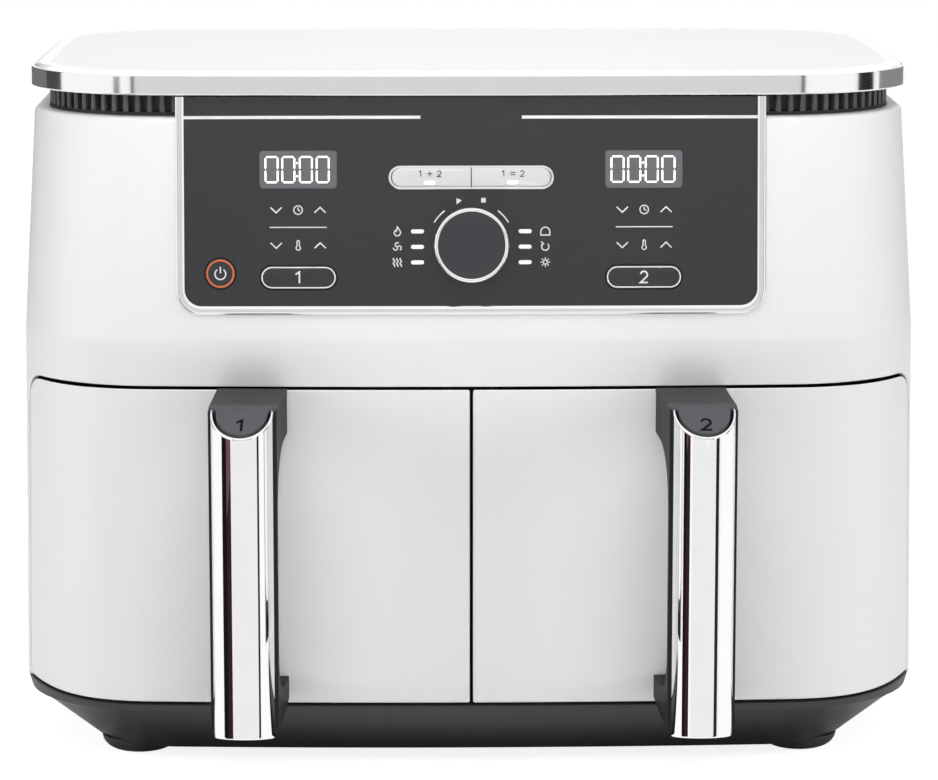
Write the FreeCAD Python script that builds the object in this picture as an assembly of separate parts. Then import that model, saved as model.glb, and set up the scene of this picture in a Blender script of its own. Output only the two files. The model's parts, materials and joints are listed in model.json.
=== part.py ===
import FreeCAD, Part
import math
import os

V = FreeCAD.Vector

# Overall size, in millimetres
WIDTH = 415.0
HEIGHT = 319.0
BODY_DEPTH = 275.0
HANDLE_REACH = 62.0

# The body's front face and back, with the whole depth centred on the origin
FRONT = -(BODY_DEPTH - HANDLE_REACH) / 2
BACK = FRONT + BODY_DEPTH

# Heights of the main joints between pieces
Z_BASE = 7.0
Z_SEAM = 32.0
Z_DRAWER_TOP = 178.5
Z_CREASE = 199.5
Z_RIM = 298.5
Z_LID = 308.5

# Plan shape: bowed front, sides and back, with round corners
FRONT_BOW = 2500.0
SIDE_BOW = 5000.0
BACK_BOW = 4000.0
FRONT_CORNER = 64.0
REAR_CORNER = 56.0

# Body sections as height, half width, front setback and back setback
SEAM_LEVEL = (Z_SEAM, WIDTH / 2, 0.0, 0.0)
CREASE_LEVEL = (Z_CREASE, WIDTH / 2 - 2.0, 0.0, 0.8)
RIM_LEVEL = (Z_RIM, WIDTH / 2 - 7.2, 11.0, 3.0)
WALL = 2.5
RIM_ROUND = 2.4
RIM_ROLL = ((0.29, 0.29), (0.0, 1.0))

# Base skirt sections as height, side inset and end inset
SKIRT = ((Z_SEAM, 1.2, 1.2), (Z_SEAM - 4.0, 5.0, 3.0), (Z_BASE, 35.5, 22.0))
SKIRT_WALL = 3.0
BASE_DECK = 3.5
CHAMBER_PAD = 2.0
PLATE_SHEET = 2.5
FOOT_R = 18.0
FOOT_PAD_R = 9.0
FOOT_X = 150.0
FOOT_INSET = 52.0
SCREW_X = 104.0
SCREW_INSET = 62.0
SCREW_HEAD_R = 3.5
SCREW_SHANK_R = 1.7

# Lid, chrome band and vent collar
LID_HALF = 201.5
LID_REAR_CORNER = 68.0
LID_SETBACK = 8.5
LID_BACK_SETBACK = 2.0
TRIM_SHEET = 1.5
TRIM_TOP = HEIGHT - 0.8
LID_EDGE = 0.6
COLLAR_INSET = 7.2
COLLAR_WALL = 2.0
FIN_PITCH = 5.6
FIN_WIDTH = 2.6
FIN_DEPTH = 3.4

# Drawers
GAP = 1.0
WING = 50.0
WING_ROUND = 15.0
SKIN = 3.0
FRONT_THICK = 18.0
LINER_SHEET = 4.0
BASKET_X = (14.0, 189.0)
BASKET_Y = (FRONT + FRONT_THICK, FRONT + 246.0)
BASKET_Z = (36.0, 172.0)
BASKET_WALL = 1.6
BASKET_DRAFT = 3.0
BASKET_CORNER = 24.0
BASKET_RIM = 1.6

# Handles
HANDLE_X = 99.0
HANDLE_HALF = 14.4
HANDLE_ROOT_HALF = 15.6
NOSE = 14.0
COVER_SHEET = 1.6
GRIP_DEPTH = 16.0
HANDLE_BOTTOM = 32.6
LIP_DROP = 10.8

# Crisper plates
CRISPER_GAP = 2.2
CRISPER_Z = 51.0
CRISPER_SHEET = 1.6
CRISPER_SKIRT = 7.0
HOLE_R = 4.0
HOLE_PITCH = 22.0

# Cooking chambers, heaters and fans
FRAME_Y = (FRONT + WING + 1.0, FRONT + WING + 4.0)
FRAME_CLEAR = 0.3
CHAMBER_X = (8.0, 195.0)
CHAMBER_Y = (FRAME_Y[1], FRONT + 252.0)
CHAMBER_Z = (Z_SEAM + CHAMBER_PAD, 214.0)
SHEET = 1.2
MOUTH_X = (9.5, 193.5)
MOUTH_Z = (35.2, 176.0)
FAN_X = 101.5
FAN_Y = FRONT + 150.0
DOME_R = 72.0
DOME_TOP = 236.0
SHAFT_R = 4.0
HEATER_R = 78.0
HEATER_TUBE = 3.4
HEATER_Z = 203.0
HEATER_GAP = 10.0
HEATER_END_R = 4.4

# Control panel, in its own frame: u to the right, v up the slope, n out of the face
PANEL_HALF = 132.0
BEZEL = 3.5
PANEL_TOP = 97.4
PANEL_CORNER = 9.0
PANEL_Z = 211.3
PANEL_PROUD = 0.6
BEZEL_PROUD = 1.6
PANEL_BACK = -2.4
KEY_CLEAR = 0.3
ROCKER_CLEAR = 0.5
KEY_PROUD = 0.9
KEY_TRAVEL = 0.8
BOARD_N = -13.5
BOARD_SHEET = 1.6
DISPLAY = (77.1, 64.8, 34.7, 17.0)
ZONE_KEY = (77.1, 16.7, 34.3, 10.7)
POWER_KEY = (-112.0, 18.5, 6.9)
ROCKER = (61.2, 73.5, 10.7)
ROCKER_RIM = 1.2
DIAL_V = 31.2
DIAL_R = 16.7
DIAL_FACE_R = 14.8
DIAL_N = (2.3, 10.5)
DIAL_SHAFT_R = 3.0
LENS_U = 24.0
LENS_V = (23.4, 30.3, 37.2)
LENS_SIZE = (5.8, 1.8)

# Back wall
GRILLE_HALF = 75.0
GRILLE_Z = (228.0, 262.0)
GRILLE_SLOTS = 6
GLAND_X = -140.0
GLAND_Z = 58.0
GLAND_R = 9.0
GLAND_BORE_R = 3.7

LEAN = math.degrees(math.atan2(RIM_LEVEL[2] - CREASE_LEVEL[2], Z_RIM - Z_CREASE))
PANEL_Y = FRONT + (PANEL_Z - Z_CREASE) * math.tan(math.radians(LEAN))
PANEL_PLACE = FreeCAD.Placement(V(0, PANEL_Y, PANEL_Z), FreeCAD.Rotation(V(1, 0, 0), 90 - LEAN))
FAR = 400.0


def box(x, y, z):
    """Block between two values on each axis."""
    return Part.makeBox(x[1] - x[0], y[1] - y[0], z[1] - z[0], V(x[0], y[0], z[0]))


def rod(radius, low, high, x, y):
    """Upright cylinder between two heights."""
    return Part.makeCylinder(radius, high - low, V(x, y, low))


def fused(shapes):
    """One clean solid from several that touch."""
    return shapes[0].fuse(shapes[1:]).removeSplitter()


def path(start, *steps):
    """Closed wire from a start point; a step is a point, or the middle and end of an arc."""
    edges = []
    here = start
    for step in steps + (start,):
        if isinstance(step, tuple):
            edges.append(Part.Arc(here, step[0], step[1]).toShape())
            here = step[1]
        elif not here.isEqual(step, 1e-6):
            edges.append(Part.LineSegment(here, step).toShape())
            here = step
    return Part.Wire(edges)


def rounded(x, y, radii, z):
    """Rectangle in plan with its own radius at front left, front right, back right and back left."""
    half = math.sqrt(0.5)
    corners = ((x[0], y[0], 1, 1), (x[1], y[0], -1, 1), (x[1], y[1], -1, -1), (x[0], y[1], 1, -1))
    steps = []
    for (cx, cy, sx, sy), r in zip(corners, radii):
        centre = V(cx + sx * r, cy + sy * r, z)
        along_x, along_y = V(centre.x, cy, z), V(cx, centre.y, z)
        middle = centre + V(-sx, -sy, 0) * (r * half)
        enter, leave = (along_y, along_x) if sx == sy else (along_x, along_y)
        steps += [enter, (middle, leave)]
    return path(steps[0], *steps[1:])


def stadium(u, v, length, height, grow=0.0):
    """Bar with round ends, centred at u and v."""
    r = height / 2 + grow
    h = (length - height) / 2
    return path(V(u - h, v - r, 0), V(u + h, v - r, 0), (V(u + h + r, v, 0), V(u + h, v + r, 0)),
                V(u - h, v + r, 0), (V(u - h - r, v, 0), V(u - h, v - r, 0)))


def crossing(c1, r1, c2, r2, near):
    """Point where two circles cross, the one closer to a given point."""
    across = c2 - c1
    along = (across.Length ** 2 + r1 ** 2 - r2 ** 2) / (2 * across.Length)
    rise = math.sqrt(r1 ** 2 - along ** 2)
    unit = V(across).normalize()
    side = V(-unit.y, unit.x, 0)
    both = [c1 + unit * along + side * (rise * sign) for sign in (-1, 1)]
    return min(both, key=lambda p: p.distanceToPoint(near))


def outline(z, half, front, back, front_r, rear_r):
    """Plan outline of eight tangent arcs: bowed front, sides and back, and four round corners."""
    side_c = V(half - SIDE_BOW, (front + back) / 2, 0)
    corner = {}
    for end, bow, sign, r in ((front, FRONT_BOW, 1, front_r), (back, BACK_BOW, -1, rear_r)):
        end_c = V(0, end + sign * bow, 0)
        c = crossing(end_c, bow - r, side_c, SIDE_BOW - r, V(half, end, 0))
        on_end = end_c + (c - end_c).normalize() * bow
        on_side = side_c + (c - side_c).normalize() * SIDE_BOW
        middle = c + (on_end + on_side - c * 2).normalize() * r
        corner[sign] = (on_end, middle, on_side)
    mirror = {s: [V(-p.x, p.y, 0) for p in corner[s]] for s in corner}
    up = V(0, 0, z)
    f, b, fm, bm = corner[1], corner[-1], mirror[1], mirror[-1]
    sides = V(half, side_c.y, 0), V(-half, side_c.y, 0)
    arcs = ((fm[0], V(0, front, 0), f[0]), f, (f[2], sides[0], b[2]), b[::-1],
            (b[0], V(0, back, 0), bm[0]), bm, (bm[2], sides[1], fm[2]), fm[::-1])
    return Part.Wire([Part.Arc(*[p + up for p in arc]).toShape() for arc in arcs])


def body_outline(z, inset):
    """Body section at a height, straight from the seam to the crease and on to the rim."""
    low, high = (SEAM_LEVEL, CREASE_LEVEL) if z < Z_CREASE else (CREASE_LEVEL, RIM_LEVEL)
    t = (z - low[0]) / (high[0] - low[0])
    half, front, back = [a + (b - a) * t for a, b in zip(low[1:], high[1:])]
    return outline(z, half - inset, FRONT + front + inset, BACK - back - inset,
                   FRONT_CORNER - inset, REAR_CORNER - inset)


def body(inset, low=Z_SEAM, high=Z_RIM, rim=0.0):
    """Solid body between two heights, smaller all round by an inset, its upper edge rolled in by rim."""
    heights = [low] + [Z_CREASE] * (low < Z_CREASE < high) + [high - rim]
    sections = [body_outline(z, inset) for z in heights]
    if rim:
        sections += [body_outline(high - rim * drop, inset + rim * roll) for drop, roll in RIM_ROLL]
    return Part.makeLoft(sections, True, True)


def skirt(inset, low, high):
    """Solid of the base's skirt between two heights, smaller all round by an inset."""
    def section(z):
        upper, lower = SKIRT[:2] if z > SKIRT[1][0] else SKIRT[1:]
        t = (z - lower[0]) / (upper[0] - lower[0])
        side, end = [a + (b - a) * t + inset for a, b in zip(lower[1:], upper[1:])]
        return outline(z, WIDTH / 2 - side, FRONT + end, BACK - end, FRONT_CORNER - end, REAR_CORNER - end)
    heights = [low] + [SKIRT[1][0]] * (low < SKIRT[1][0] < high) + [high]
    return Part.makeLoft([section(z) for z in heights], True, True)


def flat_ring(outer, inner, depth):
    """Upright wall between two plan outlines."""
    return Part.Face([outer, inner]).extrude(V(0, 0, depth))


def drawer_zone(gap):
    """Space of the drawer fronts, seen from the side, with a round upper corner at the wing's end."""
    low, top, end = Z_SEAM + gap, Z_DRAWER_TOP - gap, FRONT + WING - gap
    r = WING_ROUND - gap
    turn = V(-FAR, end - r * (1 - math.sqrt(0.5)), top - r * (1 - math.sqrt(0.5)))
    side = path(V(-FAR, FRONT - FAR, low), V(-FAR, end, low), V(-FAR, end, top - r),
                (turn, V(-FAR, end - r, top)), V(-FAR, FRONT - FAR, top))
    return Part.Face(side).extrude(V(2 * FAR, 0, 0))


def bowed(wire, low, high):
    """Panel-frame plate with a given outline, between two faces bowed like the body's front."""
    edge = PANEL_HALF + 20
    def arc(n):
        r = FRONT_BOW + n
        drop = n - (r - math.sqrt(r ** 2 - edge ** 2))
        return V(-edge, 0, drop), V(0, 0, n), V(edge, 0, drop)
    upper, lower = arc(high), arc(low)
    slab = Part.Face(path(upper[0], (upper[1], upper[2]), lower[2], (lower[1], lower[0])))
    slab = slab.extrude(V(0, PANEL_TOP + 20, 0))
    slab.translate(V(0, -10, 0))
    block = Part.Face(wire).extrude(V(0, 0, 60))
    block.translate(V(0, 0, -45))
    return block.common(slab)


def post(u, v, radius, low, high):
    """Panel-frame cylinder along n."""
    return Part.makeCylinder(radius, high - low, V(u, v, low))


def on_panel(shape):
    """Shape moved from the panel's frame to its place."""
    shape.Placement = PANEL_PLACE.multiply(shape.Placement)
    return shape


def panel_outline(shrink):
    """Upright U of the panel, square at the top and round at the lower corners."""
    h, low, r = PANEL_HALF - shrink, shrink, PANEL_CORNER - shrink
    k = r * (1 - math.sqrt(0.5))
    return path(V(-h, PANEL_TOP, 0), V(-h, low + r, 0), (V(-h + k, low + k, 0), V(-h + r, low, 0)),
                V(h - r, low, 0), (V(h - k, low + k, 0), V(h, low + r, 0)), V(h, PANEL_TOP, 0))


def bar(u, v, length, height, radius):
    """Rounded rectangle in the panel's frame, centred at u and v."""
    return rounded((u - length / 2, u + length / 2), (v - height / 2, v + height / 2), [radius] * 4, 0)


def zone(shape, side):
    """Shape built on the right, mirrored to the left for the first zone."""
    return shape if side > 0 else shape.mirror(V(0, 0, 0), V(1, 0, 0))


# Housing

def grille_block():
    """Block through the back wall where the exhaust grille sits."""
    return box((-GRILLE_HALF, GRILLE_HALF), (BACK - 30, BACK + 5), GRILLE_Z)


def gland_rod(radius, reach):
    """Rod through the back wall where the cord would leave."""
    return Part.makeCylinder(radius, reach, V(GLAND_X, BACK + 1, GLAND_Z), V(0, -1, 0))


def outer_shell():
    """White body: a tapered wall with a shoulder on top, open for the drawers, panel, grille and gland."""
    solid = body(0, rim=RIM_ROUND).cut(body(WALL, Z_SEAM - 1, Z_RIM - WALL))
    vent = Part.Face(body_outline(Z_RIM, COLLAR_INSET + COLLAR_WALL)).extrude(V(0, 0, 20))
    vent.translate(V(0, 0, -10))
    window = Part.Face(panel_outline(0)).extrude(V(0, 0, 14))
    window.translate(V(0, 0, -7))
    return solid.cut([vent, drawer_zone(0), on_panel(window), grille_block(), gland_rod(GLAND_R, 20)])


def rear_grille():
    """Piece of the back wall with a stack of level slots and a middle rib."""
    wall = body(0).cut(body(WALL, Z_SEAM - 1, Z_RIM - WALL)).common(grille_block())
    pitch = (GRILLE_Z[1] - GRILLE_Z[0]) / (GRILLE_SLOTS + 0.5)
    slots = []
    for row in range(GRILLE_SLOTS):
        low = GRILLE_Z[0] + pitch * (row + 0.5)
        for side in (-1, 1):
            ends = sorted((side * 3.0, side * (GRILLE_HALF - 4.0)))
            slots.append(box(ends, (BACK - 40, BACK + 10), (low, low + pitch * 0.55)))
    return wall.cut(slots)


def cord_gland():
    """Bush in the back wall, flush outside and a little longer inside."""
    plug = gland_rod(GLAND_R, 20).common(body(0))
    return plug.cut(gland_rod(GLAND_BORE_R, 30))


def base_tray():
    """Dark base: lip, inward skirt and deck, hollow underneath, with pads and screw posts."""
    tray = skirt(0, Z_BASE, Z_SEAM).cut(skirt(SKIRT_WALL, Z_BASE - 1, Z_SEAM - BASE_DECK))
    pads = []
    for side in (-1, 1):
        for x in (34.0, 164.0):
            ends = sorted((side * x, side * (x + 6)))
            pads.append(box(ends, (CHAMBER_Y[0] + 5, CHAMBER_Y[1] - 5), (Z_SEAM, Z_SEAM + CHAMBER_PAD)))
    posts = [rod(4.5, Z_BASE + PLATE_SHEET, Z_SEAM - BASE_DECK, x, y) for x, y in screw_places()]
    bores = [rod(SCREW_SHANK_R, Z_BASE, Z_BASE + 13, x, y) for x, y in screw_places()]
    return fused([tray] + pads + posts).cut(bores)


def screw_places():
    """Four screws of the bottom plate."""
    return [(x, y) for x in (-SCREW_X, SCREW_X) for y in (FRONT + SCREW_INSET, BACK - SCREW_INSET)]


def bottom_plate():
    """Flat plate inside the skirt's mouth, with air slots and screw holes."""
    plate = skirt(SKIRT_WALL + 0.2, Z_BASE, Z_BASE + PLATE_SHEET)
    slots = []
    for side in (-1, 1):
        for row in range(7):
            y = FRONT + 100 + 12 * row
            ends = sorted((side * 30, side * 88))
            slots.append(box(ends, (y, y + 3.6), (Z_BASE - 1, Z_BASE + 10)))
    holes = [rod(SCREW_SHANK_R, Z_BASE - 1, Z_BASE + 10, x, y) for x, y in screw_places()]
    return plate.cut(slots + holes)


def base_screws():
    """Pan-head screws that hold the bottom plate to its posts."""
    screws = []
    for x, y in screw_places():
        head = rod(SCREW_HEAD_R, Z_BASE - 1.8, Z_BASE, x, y)
        screws.append(fused([head, rod(SCREW_SHANK_R, Z_BASE, Z_BASE + 13, x, y)]))
    return Part.makeCompound(screws)


def foot(x, y):
    """Domed foot: flat pad below and a flank in three flats up to the base."""
    profile = path(V(0, 0, 0), V(FOOT_PAD_R, 0, 0), V(FOOT_R - 4.0, 0, Z_BASE * 0.2),
                   V(FOOT_R - 1.0, 0, Z_BASE * 0.55), V(FOOT_R, 0, Z_BASE), V(0, 0, Z_BASE))
    dome = Part.Face(profile).revolve(V(0, 0, 0), V(0, 0, 1), 360)
    dome.translate(V(x, y, 0))
    return dome


def vent_collar():
    """Ring with upright fins along its sides, corners and back, cut from one toothed outline."""
    root = body_outline(Z_RIM, COLLAR_INSET)
    count = 4 * round(root.Length / FIN_PITCH)
    spots = root.discretize(Number=count + 1)[:-1]
    points = []
    for i in range(0, count, 4):
        along = (spots[(i + 1) % count] - spots[i - 1]).normalize()
        out = V(along.y, -along.x, 0)
        half = along * (FIN_WIDTH / 2)
        points += [spots[i] - half]
        if spots[i].y > FRONT + FRONT_CORNER / 3 or abs(spots[i].x) > PANEL_HALF + FIN_PITCH:
            points += [spots[i] - half + out * FIN_DEPTH, spots[i] + half + out * FIN_DEPTH]
        points += [spots[i] + half]
    teeth = Part.makePolygon(points + points[:1])
    inner = body_outline(Z_RIM, COLLAR_INSET + COLLAR_WALL)
    return flat_ring(teeth, inner, Z_LID - Z_RIM)


def lid_outline(z, inset):
    """Plan outline of the lid, smaller all round by an inset."""
    return outline(z, LID_HALF - inset, FRONT + LID_SETBACK + inset, BACK - LID_BACK_SETBACK - inset,
                   FRONT_CORNER - inset, LID_REAR_CORNER - inset)


def lid_trim():
    """Bright band round the lid's edge."""
    return flat_ring(lid_outline(Z_LID, 0), lid_outline(Z_LID, TRIM_SHEET), TRIM_TOP - Z_LID)


def top_cover():
    """White lid: a thick slab with a softened top edge, hollowed from below."""
    slab = Part.Face(lid_outline(Z_LID, TRIM_SHEET)).extrude(V(0, 0, HEIGHT - Z_LID))
    slab = slab.makeChamfer(LID_EDGE, [e for e in slab.Edges if e.BoundBox.ZMin > HEIGHT - 0.1])
    pocket = Part.Face(lid_outline(Z_LID, 14.0)).extrude(V(0, 0, HEIGHT - Z_LID - 4.0))
    return slab.cut(pocket)


def front_frame():
    """Dark frame behind the drawer fronts: a wall with two mouths, and a shelf up to the fascia."""
    wall = box((-FAR, FAR), FRAME_Y, (Z_SEAM, Z_DRAWER_TOP + WALL))
    shelf = box((-FAR, FAR), (FRONT - 20, FRAME_Y[1]), (Z_DRAWER_TOP, Z_DRAWER_TOP + WALL))
    frame = body(WALL + FRAME_CLEAR).common(wall.fuse(shelf)).removeSplitter()
    mouths = [box(sorted((s * MOUTH_X[0], s * MOUTH_X[1])), (FRONT, FRAME_Y[1] + 5), MOUTH_Z) for s in (-1, 1)]
    return frame.cut(mouths)


# Cooking zones

def chamber():
    """Sheet-metal chamber with a round fan dome, a mouth in front and two rails on its floor."""
    def solid(inset, dome_top):
        x = (CHAMBER_X[0] + inset, CHAMBER_X[1] - inset)
        y = (CHAMBER_Y[0] + inset, CHAMBER_Y[1] - inset)
        radii = [2.0, 2.0, 20.0 - inset, 20.0 - inset]
        cavity = Part.Face(rounded(x, y, radii, CHAMBER_Z[0] + inset))
        cavity = cavity.extrude(V(0, 0, CHAMBER_Z[1] - CHAMBER_Z[0] - 2 * inset))
        return fused([cavity, rod(DOME_R - inset, CHAMBER_Z[1] - 10, dome_top, FAN_X, FAN_Y)])
    shell = solid(0, DOME_TOP).cut(solid(SHEET, DOME_TOP - SHEET))
    mouth = box(MOUTH_X, (CHAMBER_Y[0] - 5, CHAMBER_Y[0] + 3), MOUTH_Z)
    shaft_hole = rod(SHAFT_R + 0.6, DOME_TOP - 10, DOME_TOP + 10, FAN_X, FAN_Y)
    legs = [rod(HEATER_END_R, CHAMBER_Z[1] - 5, CHAMBER_Z[1] + 5, x, y) for x, y in heater_legs()]
    rails = []
    floor = CHAMBER_Z[0] + SHEET
    for x in (34.0, 164.0):
        rails.append(box((x, x + 5), (CHAMBER_Y[0] + SHEET, CHAMBER_Y[1] - 20), (floor, floor + 0.5)))
    return fused([shell.cut([mouth, shaft_hole] + legs)] + rails)


def heater_legs():
    """Where the heater's two ends stand, either side of a gap at the back of its ring."""
    return [(FAN_X + HEATER_R * math.cos(math.radians(90 + turn)),
             FAN_Y + HEATER_R * math.sin(math.radians(90 + turn))) for turn in (-HEATER_GAP, HEATER_GAP)]


def heater():
    """Heating tube: one open ring of six-sided section, its ends carried up through the chamber's roof."""
    section = Part.makePolygon([V(FAN_X + HEATER_R + HEATER_TUBE * math.cos(math.radians(60 * k)), FAN_Y,
                                  HEATER_Z + HEATER_TUBE * math.sin(math.radians(60 * k))) for k in range(7)])
    ring = Part.Face(section).revolve(V(FAN_X, FAN_Y, 0), V(0, 0, 1), 360 - 2 * HEATER_GAP)
    ring.rotate(V(FAN_X, FAN_Y, 0), V(0, 0, 1), 90 + HEATER_GAP)
    low, high = HEATER_Z - HEATER_TUBE - 1.0, CHAMBER_Z[1] + 8.0
    return fused([ring] + [rod(HEATER_END_R, low, high, x, y) for x, y in heater_legs()])


def motor():
    """Motor can on a footed flange above the fan dome, with a running bore for its shaft."""
    profile = path(V(SHAFT_R + 0.05, 0, DOME_TOP), V(38, 0, DOME_TOP), V(38, 0, DOME_TOP + 3),
                   V(28, 0, DOME_TOP + 3), V(28, 0, DOME_TOP + 30), V(24, 0, DOME_TOP + 34),
                   V(9, 0, DOME_TOP + 34), V(9, 0, DOME_TOP + 37), V(SHAFT_R + 0.05, 0, DOME_TOP + 37))
    can = Part.Face(profile).revolve(V(0, 0, 0), V(0, 0, 1), 360)
    can.translate(V(FAN_X, FAN_Y, 0))
    return can


def motor_shaft():
    """Shaft from the chamber fan up to the cooling fan."""
    return rod(SHAFT_R, DOME_TOP - 22, DOME_TOP + 52, FAN_X, FAN_Y)


def fan(low, high, disc_z, disc_sheet, root, tip, count, sweep):
    """Fan: hub bored for the shaft, backing disc and curved upright blades."""
    hub = rod(9.0, low, high, FAN_X, FAN_Y)
    disc = rod(tip, disc_z, disc_z + disc_sheet, FAN_X, FAN_Y)
    blade_span = (low, disc_z) if disc_z > (low + high) / 2 else (disc_z + disc_sheet, high)
    blades = []
    for i in range(count):
        start = 360.0 * i / count
        def at(radius, turn):
            angle = math.radians(start + turn)
            return V(FAN_X + radius * math.cos(angle), FAN_Y + radius * math.sin(angle), blade_span[0])
        thin = 1.2
        inner, middle, outer = at(root, 0), at((root + tip) / 2, sweep * 0.65), at(tip, sweep)
        back = [at(r, t + math.degrees(thin / r)) for r, t in
                ((root, 0), ((root + tip) / 2, sweep * 0.65), (tip, sweep))]
        wire = path(inner, (middle, outer), back[2], (back[1], back[0]))
        blades.append(Part.Face(wire).extrude(V(0, 0, blade_span[1] - blade_span[0])))
    solid = hub.fuse([disc] + blades).removeSplitter()
    return solid.cut(rod(SHAFT_R, low - 1, high + 1, FAN_X, FAN_Y))


def convection_fan():
    """Wide fan under the dome's roof, blades hanging from its disc."""
    return fan(DOME_TOP - 20, DOME_TOP - 4, DOME_TOP - 7, 1.2, 24.0, 60.0, 10, 24.0)


def cooling_fan():
    """Smaller fan on the motor's upper end, blades standing on its disc."""
    return fan(DOME_TOP + 39, DOME_TOP + 51, DOME_TOP + 39, 1.2, 14.0, 44.0, 8, 20.0)


# Drawers

def drawer_front():
    """White front that wraps round the corner: a skin with returns, open behind for its liner."""
    solid = body(0).common(drawer_zone(GAP)).common(box((GAP / 2, FAR), (-FAR, FAR), (0, FAR)))
    inner_z = (Z_SEAM + GAP + SKIN, Z_DRAWER_TOP - GAP - SKIN)
    hollow = box((GAP / 2 + SKIN, FAR), (-FAR, FAR), inner_z)
    behind = box((-FAR, FAR), (FRONT + FRONT_THICK, FAR), (0, FAR))
    return solid.cut(body(SKIN, Z_SEAM - 1).common(hollow.fuse(behind)))


def drawer_liner():
    """Dark plate that closes the back of a drawer front."""
    inner_z = (Z_SEAM + GAP + SKIN, Z_DRAWER_TOP - GAP - SKIN)
    plate = box((GAP / 2 + SKIN, FAR), (FRONT + FRONT_THICK - LINER_SHEET, FRONT + FRONT_THICK), inner_z)
    return body(SKIN).common(plate)


def basket_solid(inset, low, high):
    """Basket volume: upright front, other walls drawn in towards the floor."""
    def section(z):
        draw = BASKET_DRAFT * (BASKET_Z[1] - z) / (BASKET_Z[1] - BASKET_Z[0]) + inset
        x = (BASKET_X[0] + draw, BASKET_X[1] - draw)
        return rounded(x, (BASKET_Y[0] + inset, BASKET_Y[1] - draw), [BASKET_CORNER - inset] * 4, z)
    return Part.makeLoft([section(low), section(high)], True, True)


def basket():
    """Non-stick pan with a thickened rim, its front wall flat against the liner."""
    pan = basket_solid(0, *BASKET_Z)
    rim_z = (BASKET_Z[1] - 3.0, BASKET_Z[1])
    x = (BASKET_X[0] - BASKET_RIM, BASKET_X[1] + BASKET_RIM)
    rim = rounded(x, (BASKET_Y[0], BASKET_Y[1] + BASKET_RIM), [BASKET_CORNER] * 4, rim_z[0])
    rim = Part.Face(rim).extrude(V(0, 0, rim_z[1] - rim_z[0]))
    return pan.fuse(rim).removeSplitter().cut(basket_solid(BASKET_WALL, BASKET_Z[0] + BASKET_WALL, BASKET_Z[1] + 5))


def handle_side():
    """Side view of the handle as a solid slab: two arms, an upright grip and a rounded front lip."""
    def at(out, z):
        return V(-FAR, FRONT - out, z)
    top = Z_DRAWER_TOP - GAP
    lip = top - LIP_DROP
    round_start = HANDLE_REACH - 20.0
    r = (20.0 ** 2 + LIP_DROP ** 2) / (2 * LIP_DROP)
    turn = math.asin(20.0 / r) / 2
    crown = at(round_start + r * math.sin(turn), top - r * (1 - math.cos(turn)))
    rear = HANDLE_REACH - GRIP_DEPTH
    return path(at(-6, top), at(round_start, top), (crown, at(HANDLE_REACH, lip)),
                at(HANDLE_REACH, HANDLE_BOTTOM), at(-6, HANDLE_BOTTOM), at(-6, 47), at(14, 47),
                (at(36, 51), at(rear, 68)), at(rear, 128), (at(36, 151), at(8, 158)), at(-6, 158))


def handle_plan(shrink):
    """Plan of the handle: slightly tapered sides and a half-round nose."""
    end = FRONT - HANDLE_REACH + NOSE
    tip = V(HANDLE_X, FRONT - HANDLE_REACH + shrink, 0)
    h = HANDLE_HALF - shrink
    left, right = V(HANDLE_X - h, end, 0), V(HANDLE_X + h, end, 0)
    return left, tip, right


def handle_cover():
    """Bright half-round cover over the front of the grip, its top cut along the rounded lip."""
    outer, inner = handle_plan(0), handle_plan(COVER_SHEET)
    crescent = path(outer[0], (outer[1], outer[2]), inner[2], (inner[1], inner[0]))
    sheet = Part.Face(crescent).extrude(V(0, 0, FAR))
    return sheet.common(Part.Face(handle_side()).extrude(V(2 * FAR, 0, 0)))


def handle():
    """Dark handle body: arms and grip, with a flared pad where the lower arm meets the drawer."""
    left, tip, right = handle_plan(COVER_SHEET)
    outer = handle_plan(0)
    root = [V(HANDLE_X + s * HANDLE_ROOT_HALF, FRONT + 6, 0) for s in (1, -1)]
    plan = path(left, (tip, right), outer[2], root[0], root[1], outer[0])
    solid = Part.Face(plan).extrude(V(0, 0, FAR)).common(Part.Face(handle_side()).extrude(V(2 * FAR, 0, 0)))
    pad = Part.makeCylinder(HANDLE_ROOT_HALF + 1.6, 12, V(HANDLE_X, FRONT + 6, 33.0), V(0, -1, 0))
    pad = pad.common(box((0, FAR), (-FAR, FAR), (HANDLE_BOTTOM + 3, FAR)))
    return fused([solid, pad]).cut(body(0))


def crisper_span(z, grow):
    """Inside of the basket at a height, shrunk by the plate's gap and grown by a margin."""
    draw = BASKET_DRAFT * (BASKET_Z[1] - z) / (BASKET_Z[1] - BASKET_Z[0]) + BASKET_WALL + CRISPER_GAP - grow
    return (BASKET_X[0] + draw, BASKET_X[1] - draw), (BASKET_Y[0] + BASKET_WALL + CRISPER_GAP - grow,
                                                     BASKET_Y[1] - draw)


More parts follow.
